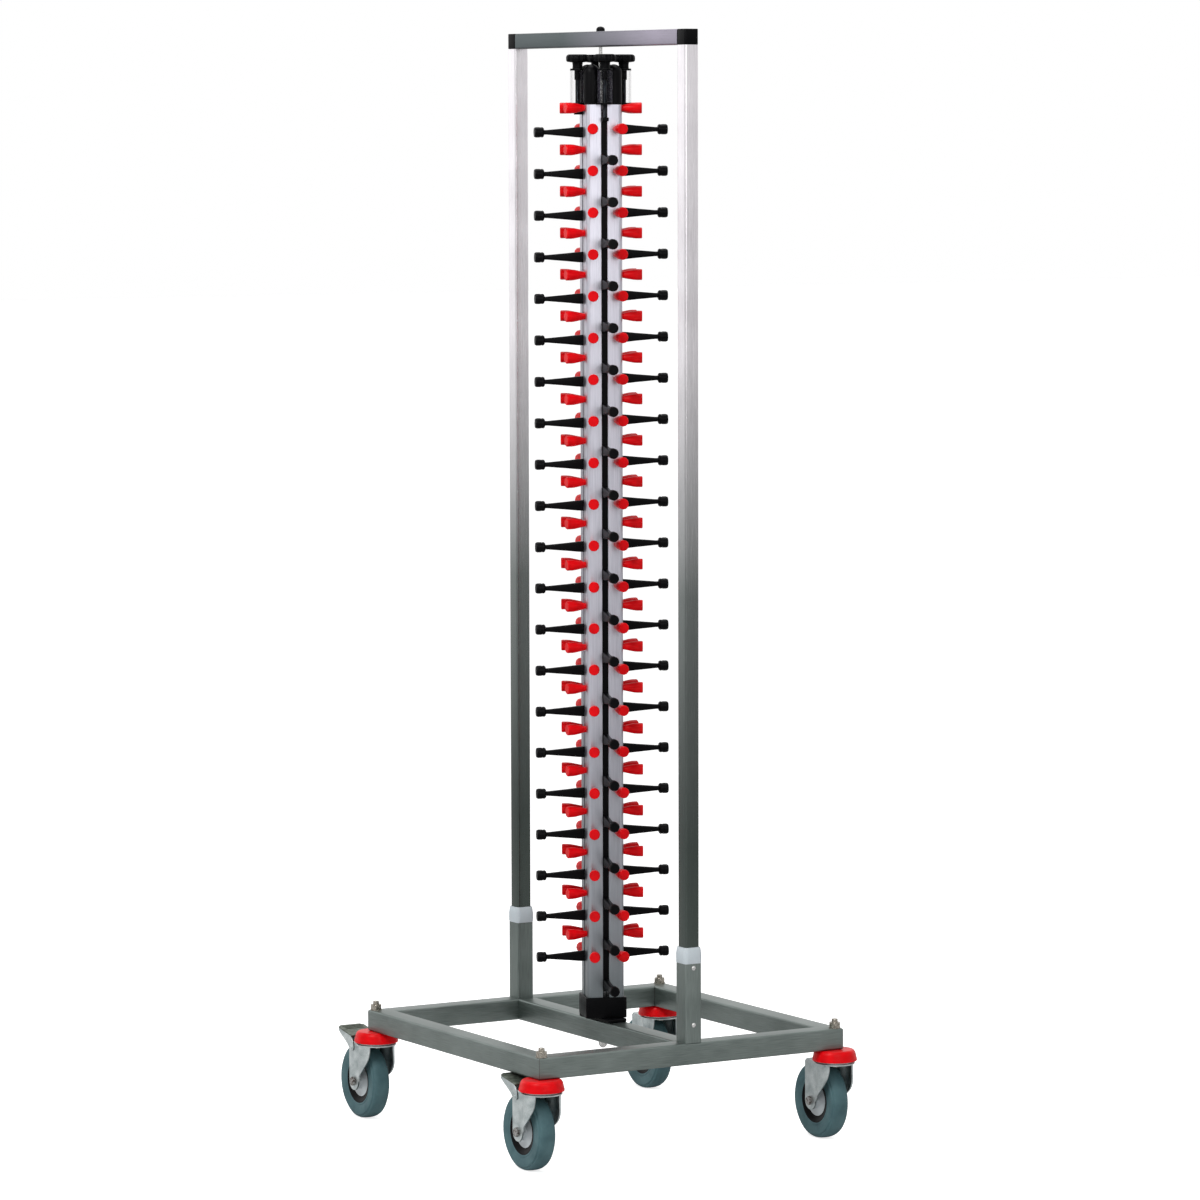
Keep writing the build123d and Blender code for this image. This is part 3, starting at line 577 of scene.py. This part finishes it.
pitch = 0.0673
levels = 21
peg_spread = 0.0185
peg_splay = np.radians(11)
peg_length = 0.0333
peg_sides = 12
peg_rows = np.array([
    # distance out, radius
    (-0.0006, 0.0046), (0.005, 0.0057), (0.012, 0.0072), (0.019, 0.0085),
    (0.024, 0.0089), (peg_length - 0.0012, 0.0089), (peg_length, 0.0079),
])
peg_drop = 0.0055
peg_high = column_high - peg_drop
peg_low = peg_high - pitch / 2
peg_tops = {"front": peg_low, "right": peg_high, "back": peg_low, "left": peg_high}
faces = dict(zip(peg_tops, quarter))


def glossy_red(place):
    """Red moulding: even colour with small flow marks and a soft gloss."""
    flow = place.noise(70.0, (1, 1, 1), 3.0)
    skin = place.noise(800.0, (1, 1, 1), 2.0)
    return {
        "Base Color": flow.clipped(0.3, 0.7).mix((0.64, 0.001, 0.004, 1), (0.84, 0.002, 0.006, 1)),
        "Roughness": skin * 0.2 + 0.22, "Specular IOR Level": 0.12, "Height": skin, "Depth": 0.00004,
    }


red = finish("red moulding", glossy_red)
around = full_turn(peg_sides)
peg_out, peg_radius = peg_rows.T[:, :, None]
peg = np.stack([
    np.repeat(peg_out, peg_sides, 1), peg_radius * np.cos(around), peg_radius * np.sin(around),
], -1)
for name, angle in faces.items():
    heights = peg_tops[name] - pitch * np.arange(levels)
    shells = []
    for side in (-1, 1):
        root = facing(np.array([angle]))[0]
        start = root[0] * column_half + root[1] * side * peg_spread
        origins = start + heights[:, None] * root[2]
        lean = np.full(levels, angle + side * peg_splay)
        shells.append(copies(peg, origins, facing(lean)))
    piece(f"red_pegs_{name}", shells, red, "column", [f"pegs_{name}"])


# ---- Arms and rack bars --------------------------------------------------------------
# A black bar slides behind the lips of each slot, on two tongues in its grooves, and
# carries 21 arms, one under each pair of pegs. An arm tapers from a deep root to a thin
# end, then swells into a fat ribbed tip. The bar's lug reaches out under its spindle.

gaps = {"front": 0.050, "right": 0.0345, "back": 0.039, "left": 0.039}
arm_rows = np.array([
    # out, half width, half height, squareness
    (0.0265, 0.0046, 0.0089, 8), (0.040, 0.0045, 0.0082, 8), (0.058, 0.0043, 0.0064, 8),
    (0.077, 0.0041, 0.0048, 8), (0.089, 0.0038, 0.0038, 5), (0.0935, 0.0040, 0.0038, 3),
    (0.0945, 0.0072, 0.0072, 2), (0.0965, 0.0085, 0.0085, 2), (0.0995, 0.0080, 0.0080, 2),
    (0.1015, 0.0085, 0.0085, 2), (0.1070, 0.0085, 0.0085, 2), (0.1095, 0.0074, 0.0074, 2),
])
bar_inner = 0.0145
bar_face = 0.0275
bar_play = 0.0004
bar_tail = 0.011
bar_headroom = 0.002
gap_min = 0.031
lug_root = bar_face - 0.001
lug_end = 0.0435
lug_height = 0.006
lug_corner = 0.001
lug_edge = 0.0005
quarter_turns = np.arange(0, 360, 90)[:, None]
arm_around = np.radians(quarter_turns + (10, 35, 45, 55, 80)).ravel()


def rack_top(name):
    """Height of a rack's bar and lug: lower under the column's top as its gap is wider."""
    return column_high - bar_headroom - (gaps[name] - gap_min)


def swollen(rows, turn):
    """Beam of superellipses: at each distance out, half width and half height times
    sign(c) |c| ** (2 / squareness), for c the cosine and the sine of the turn."""
    out, wide, high, square = rows.T[:, :, None]
    c, s = np.cos(turn), np.sin(turn)
    y = wide * np.sign(c) * np.abs(c) ** (2 / square)
    z = high * np.sign(s) * np.abs(s) ** (2 / square)
    return np.stack([np.repeat(out, len(turn), 1), y, z], -1)


arm = swollen(arm_rows, arm_around)
arm_black = finish("black arm moulding", moulded(
    (0.0012, 0.0012, 0.0016, 1), (0.0026, 0.0026, 0.0032, 1), 0.28, 1200.0, 0.06
))
bar_half = slot_half - bar_play
bar_tongue = slot_half + groove_depth - bar_play
bar_side = np.array([
    (bar_inner, bar_half), (groove[0] + bar_play, bar_half), (groove[0] + bar_play, bar_tongue),
    (groove[1] - bar_play, bar_tongue), (groove[1] - bar_play, bar_half), (bar_face, bar_half),
])
bar_outline = np.concatenate([bar_side[::-1], bar_side * (1, -1)])

for name, angle in faces.items():
    heights = peg_tops[name] - gaps[name] - pitch * np.arange(levels)
    origins = heights[:, None] * np.array([0, 0, 1.0])
    piece(f"tipped_arms_{name}", [copies(arm, origins, facing(np.full(levels, angle)))], arm_black,
          f"rack_{name}", [f"arms_{name}"])
    bar_top = rack_top(name)
    bar = np.stack([raised(bar_outline, heights[-1] - bar_tail), raised(bar_outline, bar_top)])
    lug = block(lug_end - lug_root, 2 * bar_half, bar_top - lug_height, bar_top, lug_corner, lug_edge)
    lug = lug + ((lug_end + lug_root) / 2, 0, 0)
    way = facing(np.array([angle]))
    piece(f"sliding_bar_{name}", [copies(shape, nowhere[:1], way) for shape in (bar, lug)],
          arm_black, f"rack_{name}", [f"rack_bar_{name}"])


# ---- Spindles and knobs --------------------------------------------------------------
# A threaded spindle stands on each rack bar's lug and rises inside its sleeve into the
# knob. The black knob is a scalloped disc on a neck; turning it moves the whole rack.

spindle_radius = 0.004
thread_depth = 0.0005
thread_pitch = 0.0016
spindle_rise = 0.080
knob_rows = np.array([
    # height over the sleeve, radius, depth of scallops
    (-0.015, 0.0052, 0), (0.0, 0.0052, 0), (0.0, 0.01225, 0), (0.003, 0.0120, 0),
    (0.0033, 0.0084, 0), (0.008, 0.0080, 0), (0.013, 0.0086, 0), (0.014, 0.0165, 0.0010),
    (0.0155, 0.0182, 0.0016), (0.018, 0.0185, 0.0018), (0.022, 0.0185, 0.0018),
    (0.0245, 0.0172, 0.0014), (0.026, 0.0145, 0.0006),
])


def threaded(radius, depth, spacing, length, sides=14):
    """Screw thread about Z: the radius less depth times a triangle wave of the height
    in spacings less the turn, so the crests climb one spacing a turn."""
    turn = full_turn(sides)
    height = np.linspace(0, length, int(length / spacing * 4))[:, None]
    wave = np.abs(2 * ((height / spacing - turn / (2 * np.pi)) % 1) - 1)
    return turned(radius - depth * wave, turn, height)


def scalloped(rows, sides=72, scallops=12):
    """Knob about Z: at each height the radius less the scallops' depth times
    (1 - cos(scallops t)) / 2."""
    turn = full_turn(sides)
    height, radius, depth = rows.T[:, :, None]
    return turned(radius - depth * (1 - np.cos(scallops * turn)) / 2, turn, height)


def dark_steel(place):
    """Blackened steel with an oily sheen, rubbed a little brighter in patches."""
    wear = place.noise(300.0, (1, 1, 0.2), 3.0)
    return {
        "Base Color": wear.clipped(0.35, 0.75).mix((0.006, 0.007, 0.009, 1), (0.03, 0.036, 0.042, 1)),
        "Metallic": 0.9, "Roughness": wear * 0.2 + 0.25, "Height": wear, "Depth": 0.00003,
    }


blackened = finish("blackened steel", dark_steel)
thread = threaded(spindle_radius, thread_depth, thread_pitch, spindle_rise)
knob = scalloped(knob_rows)
for name, place in zip(faces, spindle_places):
    piece(f"screw_{name}", [thread + place + (0, 0, rack_top(name))], blackened, f"rack_{name}",
          [f"spindle_{name}"])
    piece(f"hand_knob_{name}", [knob + place + (0, 0, sleeve_top)], black, f"knob_{name}",
          [f"knob_{name}"], edge=50.0)


# ---- Castors' swivel heads -----------------------------------------------------------
# Under each corner a bright stud with its race, a flared glossy red ring that hides
# them, and on top of the frame a washer and a chamfered nut.

pivot_out = 0.275
pivots = np.array([[x, y, 0] for y in (-pivot_out, pivot_out) for x in (pivot_out, -pivot_out)])
ring_profile = [
    # radius, height over the floor
    (0.0340, 0.1330), (0.0360, 0.1330), (0.0365, 0.1336), (0.0364, 0.1362), (0.0357, 0.1386),
    (0.0350, 0.1412), (0.0345, 0.1440), (0.0336, 0.1470), (0.0320, 0.1495), (0.0300, 0.1508),
    (0.0270, 0.1510), (0.0052, 0.1510), (0.0052, 0.1488), (0.0280, 0.1485), (0.0300, 0.1450),
]
piece("red_rings", [], red, "base", ["bumper_rings"],
      loops=[copies(spun(ring_profile, sides=64), pivots, upright_axes)])
stud_profile = [
    (0, 0.1222), (0.0085, 0.1222), (0.009, 0.1228), (0.009, 0.1272), (0.006, 0.1272), (0.006, 0.1333),
    (0.028, 0.1333), (0.028, 0.1383), (0.009, 0.1383), (0.009, 0.1485), (0.005, 0.1485),
    (0.005, 0.2000), (0.0042, 0.2011), (0, 0.2011),
]
nut_metal = finish("nut steel", plated((0.17, 0.155, 0.13, 1), (0.42, 0.39, 0.34, 1)))
piece("studs", [copies(spun(stud_profile, sides=32), pivots, upright_axes)], nut_metal, "base",
      ["castor_studs"])


def hexagonal(flats, rows, sides=48):
    """Nut about Z: a hexagon's radius, half the flats over the cosine of the turn from
    its side's middle, cut down to each row's own radius."""
    turn = full_turn(sides)
    side = flats / 2 / np.cos((turn + np.pi / 6) % (np.pi / 3) - np.pi / 6)
    height, limit = np.array(rows, float).T[:, :, None]
    return turned(np.minimum(side, limit), turn, height)


nut_flats = 0.017
nut_bore = 0.0052
washer_radius = 0.0095
washer_top = frame_top + 0.0016
nut = hexagonal(nut_flats, [
    # height over the washer, radius
    (0, 0.0090), (0.0008, 0.0098), (0.0072, 0.0098), (0.0080, 0.0088), (0.0080, nut_bore),
]) + (0, 0, washer_top)
washer = spun([
    (washer_radius, frame_top), (washer_radius, washer_top), (nut_bore, washer_top),
], sides=32)
piece("nuts", [copies(shape, pivots, upright_axes) for shape in (nut, washer)], nut_metal, "base",
      ["castor_nuts"])


# ---- Castor forks and axles ----------------------------------------------------------
# Zinc plated pressings: a round crown that runs back over the wheel, and two legs that
# narrow down to the axle's eyes. The axle is a bolt with a hexagon on each side.

castors = dict(zip(("front_left", "back_left", "front_right", "back_right"), pivots))
trail = 0.040
wheel_radius = 0.0625
leg_inner = 0.019
leg_outer = 0.0215
crown_low = 0.1275
crown_high = 0.130
crown_radius = 0.033
leg_back = -0.056
leg_lean = 0.001
leg_front = 0.020
leg_sweep = 0.045
leg_power = 2.4
bow_start = -0.026
bow_length = 0.021
bow_radius = 0.0305
eye = 0.015
axle_radius = 0.004
pin_place = (-0.044, 0, 0.119)


def bowed_leg(side, rows=26, steps=24):
    """One leg of a fork, seen from its swivel axis. Its back edge is nearly straight. Its
    front edge falls back as the depth below the crown to the power 2.4, and below the
    axle both follow the eye's circle. In plan it is straight beside the wheel and then
    eases out to a circle round the swivel axis; the inner face lies a plate's thickness
    inside, along the normal."""
    high = np.concatenate([
        wheel_radius - eye * np.cos(np.linspace(0.12, np.pi / 2, 9)[:-1]),
        np.linspace(wheel_radius, crown_low, rows),
    ])
    below = np.sqrt(np.clip(eye ** 2 - (high - wheel_radius) ** 2, 0, None))
    above = np.clip((crown_low - high) / (crown_low - wheel_radius), 0, 1)
    back = np.where(high < wheel_radius, -trail - below, leg_back + leg_lean * above)
    front = np.where(high < wheel_radius, below - trail, leg_front - leg_sweep * above ** leg_power)
    x = back[:, None] + (front - back)[:, None] * np.linspace(0, 1, steps)
    ease = np.clip((x - bow_start) / bow_length, 0, 1)
    ease = ease * ease * (3 - 2 * ease)
    bow = np.sqrt(np.clip(bow_radius ** 2 - x ** 2, leg_outer ** 2, None))
    y = leg_outer + ease * (bow - leg_outer)
    dx, dy = np.gradient(x, axis=1), np.gradient(y, axis=1)
    plate = (leg_outer - leg_inner) / np.hypot(dx, dy)
    z = np.repeat(high[:, None], steps, 1)
    outer = np.stack([x, side * y, z], -1)
    inner = np.stack([x + dy * plate, side * (y - dx * plate), z], -1)
    return np.concatenate([outer, inner[:, ::-1]], 1)


def pressed(outline, low, high, axes, edge=0.0005):
    """Plate with softened edges: the outline drawn in towards its middle at both
    faces, and its own size between them."""
    middle = outline.mean(0)
    reach = np.linalg.norm(outline - middle, axis=1, keepdims=True)
    drawn_in = outline - (outline - middle) / reach * edge
    rows = [(low, drawn_in), (low + edge, outline), (high - edge, outline), (high, drawn_in)]
    return np.stack([raised(ring, z) for z, ring in rows]) @ axes


def zinc_plate(place):
    """Zinc plate: faint crystal clouds, dull, with small dark specks."""
    crystals = place.noise(55.0, (1, 1, 1), 5.0)
    specks = place.noise(600.0, (1, 1, 1), 2.0)
    shade = (crystals * 0.7 + specks * 0.3).clipped(0.35, 0.65)
    return {
        "Base Color": shade.mix((0.29, 0.335, 0.34, 1), (0.56, 0.6, 0.6, 1)),
        "Metallic": 1.0, "Roughness": crystals * 0.25 + 0.3, "Height": specks, "Depth": 0.00004,
    }


def axle_steel(place):
    """Axle bolts: steel gone brown and dull in patches from washing down."""
    rust = place.noise(240.0, (1, 1, 1), 4.0)
    return {
        "Base Color": rust.clipped(0.4, 0.62).mix((0.36, 0.36, 0.35, 1), (0.07, 0.05, 0.042, 1)),
        "Metallic": 0.8, "Roughness": rust * 0.3 + 0.3, "Height": rust, "Depth": 0.00005,
    }


zinc = finish("zinc plate", zinc_plate)
axle_metal = finish("axle steel", axle_steel)
upward = np.eye(3)
sideways = {side: np.array([[1.0, 0, 0], [0, 0, 1.0], [0, side, 0]]) for side in (1, -1)}
nose = np.radians(np.linspace(-118, 118, 41))
crown_tail = np.array([(-0.040, leg_outer), (-0.053, leg_outer), (leg_back, 0.017)])
crown_outline = np.concatenate([
    crown_radius * np.stack([np.cos(nose), np.sin(nose)], -1), crown_tail, crown_tail[::-1] * (1, -1),
])
crown = pressed(crown_outline, crown_low, crown_high, upward)
race = spun([
    (0.028, crown_high), (0.028, 0.1326), (0.0276, 0.133), (0.0062, 0.133),
], sides=48)
legs = [bowed_leg(1), bowed_leg(-1)]
axle_head = hexagonal(0.013, [
    # height over the leg, radius
    (0, 0.0075), (0.0038, 0.0075), (0.0045, 0.0068), (0.0045, 0.0040), (0.0045, 0.0036),
])
axle_shaft = spun([(axle_radius, -leg_outer), (axle_radius, leg_outer)], sides=24) @ sideways[1]
pin = spun([(0.003, leg_outer), (0.003, 0.0246), (0.0026, 0.025)], sides=20)
braked = ("front_left", "back_left")
for name, pivot in castors.items():
    plates = [crown, race] + legs
    if name in braked:
        plates += [pin @ way + pin_place for way in sideways.values()]
    piece(f"pressed_fork_{name}", [plate + pivot for plate in plates], zinc, f"fork_{name}",
          [f"fork_{name}"])
    heads = [axle_head @ way + (0, side * leg_outer, 0) for side, way in sideways.items()]
    centre = pivot + (-trail, 0, wheel_radius)
    piece(f"axle_bolt_{name}", [shape + centre for shape in [axle_shaft] + heads], axle_metal,
          f"fork_{name}", [f"axle_{name}"])


# ---- Wheels --------------------------------------------------------------------------
# Blue grey rubber tyres on a black rim, round a light grey hub that is dished on both
# sides. A step runs round each shoulder of the tyre, and a fine groove near the rim.

tyre_half = [
    # radius, distance from the wheel's middle plane
    (0.0372, 0.0135), (0.0400, 0.0141), (0.0408, 0.0136), (0.0416, 0.0142), (0.0480, 0.0151),
    (0.0530, 0.0160), (0.0556, 0.0158), (0.0566, 0.0150), (0.0570, 0.0140), (0.0580, 0.0138),
    (0.0600, 0.0128), (0.0615, 0.0098), (0.0622, 0.0060), (0.0625, 0.0),
]
rim_half = [(0.0262, 0.0095), (0.0300, 0.0100), (0.0335, 0.0128), (0.0372, 0.0135)]
hub_half = [(0.0041, 0.0187), (0.0115, 0.0187), (0.0130, 0.0175), (0.0140, 0.0120), (0.0225, 0.0090),
            (0.0262, 0.0095)]


def both_sides(half):
    """Closed profile from its upper half: the half, and its mirror back to the start."""
    half = np.array(half)
    back = half[::-1] * (1, -1)
    return np.concatenate([half, back[1:] if half[-1, 1] == 0 else back])


def rubber(place):
    """Rubber: matt blue grey, a little dusty in broad patches."""
    dust = place.noise(30.0, (1, 1, 1), 4.0)
    grain = place.noise(1500.0, (1, 1, 1), 2.0)
    return {
        "Base Color": dust.clipped(0.3, 0.7).mix((0.03, 0.082, 0.095, 1), (0.068, 0.145, 0.16, 1)),
        "Roughness": grain * 0.2 + 0.55, "Height": grain, "Depth": 0.00008,
    }


tyre_rubber = finish("blue grey rubber", rubber)
hub_grey = finish("grey hub moulding", moulded((0.46, 0.5, 0.52, 1), (0.56, 0.6, 0.62, 1), 0.4))
for name, pivot in castors.items():
    centre = pivot + (-trail, 0, wheel_radius)
    for label, half, material, node, slot in (
        ("tyre_tread", tyre_half, tyre_rubber, ["tyre_" + name], "grey_rubber"),
        ("rim", rim_half, black, ["wheel_centre_" + name], "black_plastic"),
        ("hub", hub_half, hub_grey, [], "grey_plastic"),
    ):
        wheel = spun(both_sides(half), sides=72) @ sideways[1] + centre
        piece(f"{label}_{name}", [], material, f"wheel_{name}", node, loops=[wheel])


# ---- Brake pedals --------------------------------------------------------------------
# Two of the castors have a pressed foot pedal: a ribbed tread that rises outwards between
# two cheeks, which turn on the fork's pins, and a shoe that comes down on the tyre.

tread_root = 0.137
tread_thickness = 0.0025
tread_slope = 0.19
tread_side = np.array([(-0.042, 0.024), (-0.088, 0.024), (-0.093, 0.018)])
tread = np.concatenate([tread_side, tread_side[::-1] * (1, -1)])
rib_width = 0.0022
rib_length = 0.036
rib_sunk = 0.0002
rib_rise = 0.0009
rib_places = (-0.086, -0.080, -0.074)
cheek = np.array([
    # along, height over the floor
    (-0.042, 0.1372), (-0.066, 0.1417), (-0.089, 0.1460), (-0.089, 0.1415), (-0.060, 0.1250),
    (-0.050, 0.1165), (-0.047, 0.1130), (-0.040, 0.1140), (-0.037, 0.1190),
])
cheek_thickness = 0.002
cheek_outer = 0.024
shoe_place = (-0.064, 0, 0)


def smoothed(points):
    """Cuts a closed outline's corners: each side is kept from its first quarter to its
    last, and the rest is bridged."""
    ahead = np.roll(points, -1, 0)
    return np.stack([0.75 * points + 0.25 * ahead, 0.25 * points + 0.75 * ahead], 1).reshape(-1, 2)


def rising(plate):
    """Tilts a flat plate: each point goes up by the slope times its distance out past
    the tread's inner edge."""
    out = tread[0, 0] - plate[..., 0]
    return plate + np.stack([0 * out, 0 * out, tread_slope * out], -1)


def dull_zinc(place):
    """Zinc gone dull and olive on the tread, rubbed lighter in small patches."""
    rubbed = place.noise(160.0, (1, 1, 1), 4.0)
    return {
        "Base Color": rubbed.clipped(0.4, 0.7).mix((0.075, 0.09, 0.07, 1), (0.17, 0.19, 0.16, 1)),
        "Metallic": 0.7, "Roughness": rubbed * 0.25 + 0.38, "Height": rubbed, "Depth": 0.00005,
    }


tread_zinc = finish("dull zinc", dull_zinc)
cheeks = [
    pressed(smoothed(cheek), low, low + cheek_thickness, sideways[1])
    for low in (cheek_outer - cheek_thickness, -cheek_outer)
]
shoe = block(0.008, 0.028, 0.1276, 0.1415, 0.002, 0.0008) + shoe_place
tread_top = tread_root + tread_thickness
rib = block(rib_width, rib_length, tread_top - rib_sunk, tread_top + rib_rise, 0.001, 0.0004)
treads = [pressed(tread, tread_root, tread_top, upward)] + [rib + (x, 0, 0) for x in rib_places]
for name in braked:
    pivot = castors[name]
    piece(f"pedal_cheeks_{name}", [plate + pivot for plate in cheeks + [shoe]], zinc,
          f"pedal_{name}", [f"brake_pedal_{name}"])
    piece(f"pedal_tread_{name}", [rising(plate) + pivot for plate in treads], tread_zinc,
          f"pedal_{name}")


# ---- Studio --------------------------------------------------------------------------
# A pale floor that keeps the shadow, a white surround, soft lamps, and the camera at
# the height and side that the cart was seen from.

floor_reach = 40
floor_corners = floor_reach * np.array([(-1, -1, 0), (1, -1, 0), (1, 1, 0), (-1, 1, 0)], float)
floor_mesh = bpy.data.meshes.new("floor")
floor_mesh.from_pydata(floor_corners, [], [(0, 1, 2, 3)])
floor = bpy.data.objects.new("floor", floor_mesh)
bpy.context.scene.collection.objects.link(floor)


def pale_floor(place):
    """Pale matt floor, lifted to white for the camera except where a shadow falls."""
    grain = place.noise(40.0, (1, 1, 1), 3.0)
    camera_ray = place.node("ShaderNodeLightPath", {}, {}, "Is Camera Ray")
    return {
        "Base Color": grain.mix((0.88, 0.88, 0.88, 1), (0.9, 0.9, 0.9, 1)),
        "Roughness": grain * 0.1 + 0.7, "Specular IOR Level": 0.1,
        "Emission Color": camera_ray.mix((0, 0, 0, 1), (0.76, 0.76, 0.76, 1)),
        "Emission Strength": 1.0,
    }


floor_mesh.materials.append(finish("pale floor", pale_floor))

# The surround is white for the camera, mirrors and clear plastic, and dim otherwise.
surround_dim = 0.3
world = bpy.data.worlds.new("surround")
bpy.context.scene.world = world
world.use_nodes = True
world.node_tree.nodes.clear()
seen = Field(world.node_tree).node("ShaderNodeLightPath", {}, {}, "Is Camera Ray")
ray_path = seen.socket.node
for kind in ("Is Glossy Ray", "Is Transmission Ray"):
    seen = seen.maths("MAXIMUM", Field(world.node_tree, ray_path.outputs[kind]))
strength = seen * (1 - surround_dim) + surround_dim
surround = seen.node("ShaderNodeBackground", {}, {"Color": (1, 1, 1, 1), "Strength": strength})
world_output = world.node_tree.nodes.new("ShaderNodeOutputWorld")
world.node_tree.links.new(surround.socket, world_output.inputs["Surface"])

azimuth = np.radians(59.44)
elevation = np.radians(4.91)
roll = np.radians(-0.14)
distance = 9.0478
aim_side = -0.00314
aim_height = 0.8765
level = Vector((np.sin(azimuth), -np.cos(azimuth), 0))
backward = level * np.cos(elevation) + Vector((0, 0, np.sin(elevation)))
rightward = Vector((np.cos(azimuth), np.sin(azimuth), 0))
upwards = backward.cross(rightward)
camera_data = bpy.data.cameras.new("camera")
camera_data.lens = 166.27
camera_data.sensor_width = 36
camera_data.clip_end = 200
camera = bpy.data.objects.new("camera", camera_data)
bpy.context.scene.collection.objects.link(camera)
right_axis = rightward * np.cos(roll) + upwards * np.sin(roll)
up_axis = upwards * np.cos(roll) - rightward * np.sin(roll)
camera_axes = Matrix((right_axis, up_axis, backward)).transposed().to_4x4()
spot = rightward * aim_side + Vector((0, 0, aim_height)) + backward * distance
camera.matrix_world = Matrix.Translation(spot) @ camera_axes
bpy.context.scene.camera = camera

lamp_aim = Vector((0, 0, 0.9))
for name, side, height, out, power, size in (
    ("key", -2.0, 3.4, 2.8, 105, 1.8), ("fill", 1.3, 2.0, 3.3, 25, 2.2),
    ("top", 0.0, 4.0, -0.5, 50, 2.0), ("rim", -2.7, 1.6, -1.5, 8, 2.4),
):
    lamp_data = bpy.data.lights.new(name, "AREA")
    lamp_data.energy = power
    lamp_data.size = size
    lamp = bpy.data.objects.new(name, lamp_data)
    bpy.context.scene.collection.objects.link(lamp)
    lamp.location = rightward * side + backward * out + Vector((0, 0, height))
    lamp.rotation_euler = (lamp_aim - lamp.location).to_track_quat("-Z", "Y").to_euler()

bpy.context.scene.view_settings.view_transform = "Standard"
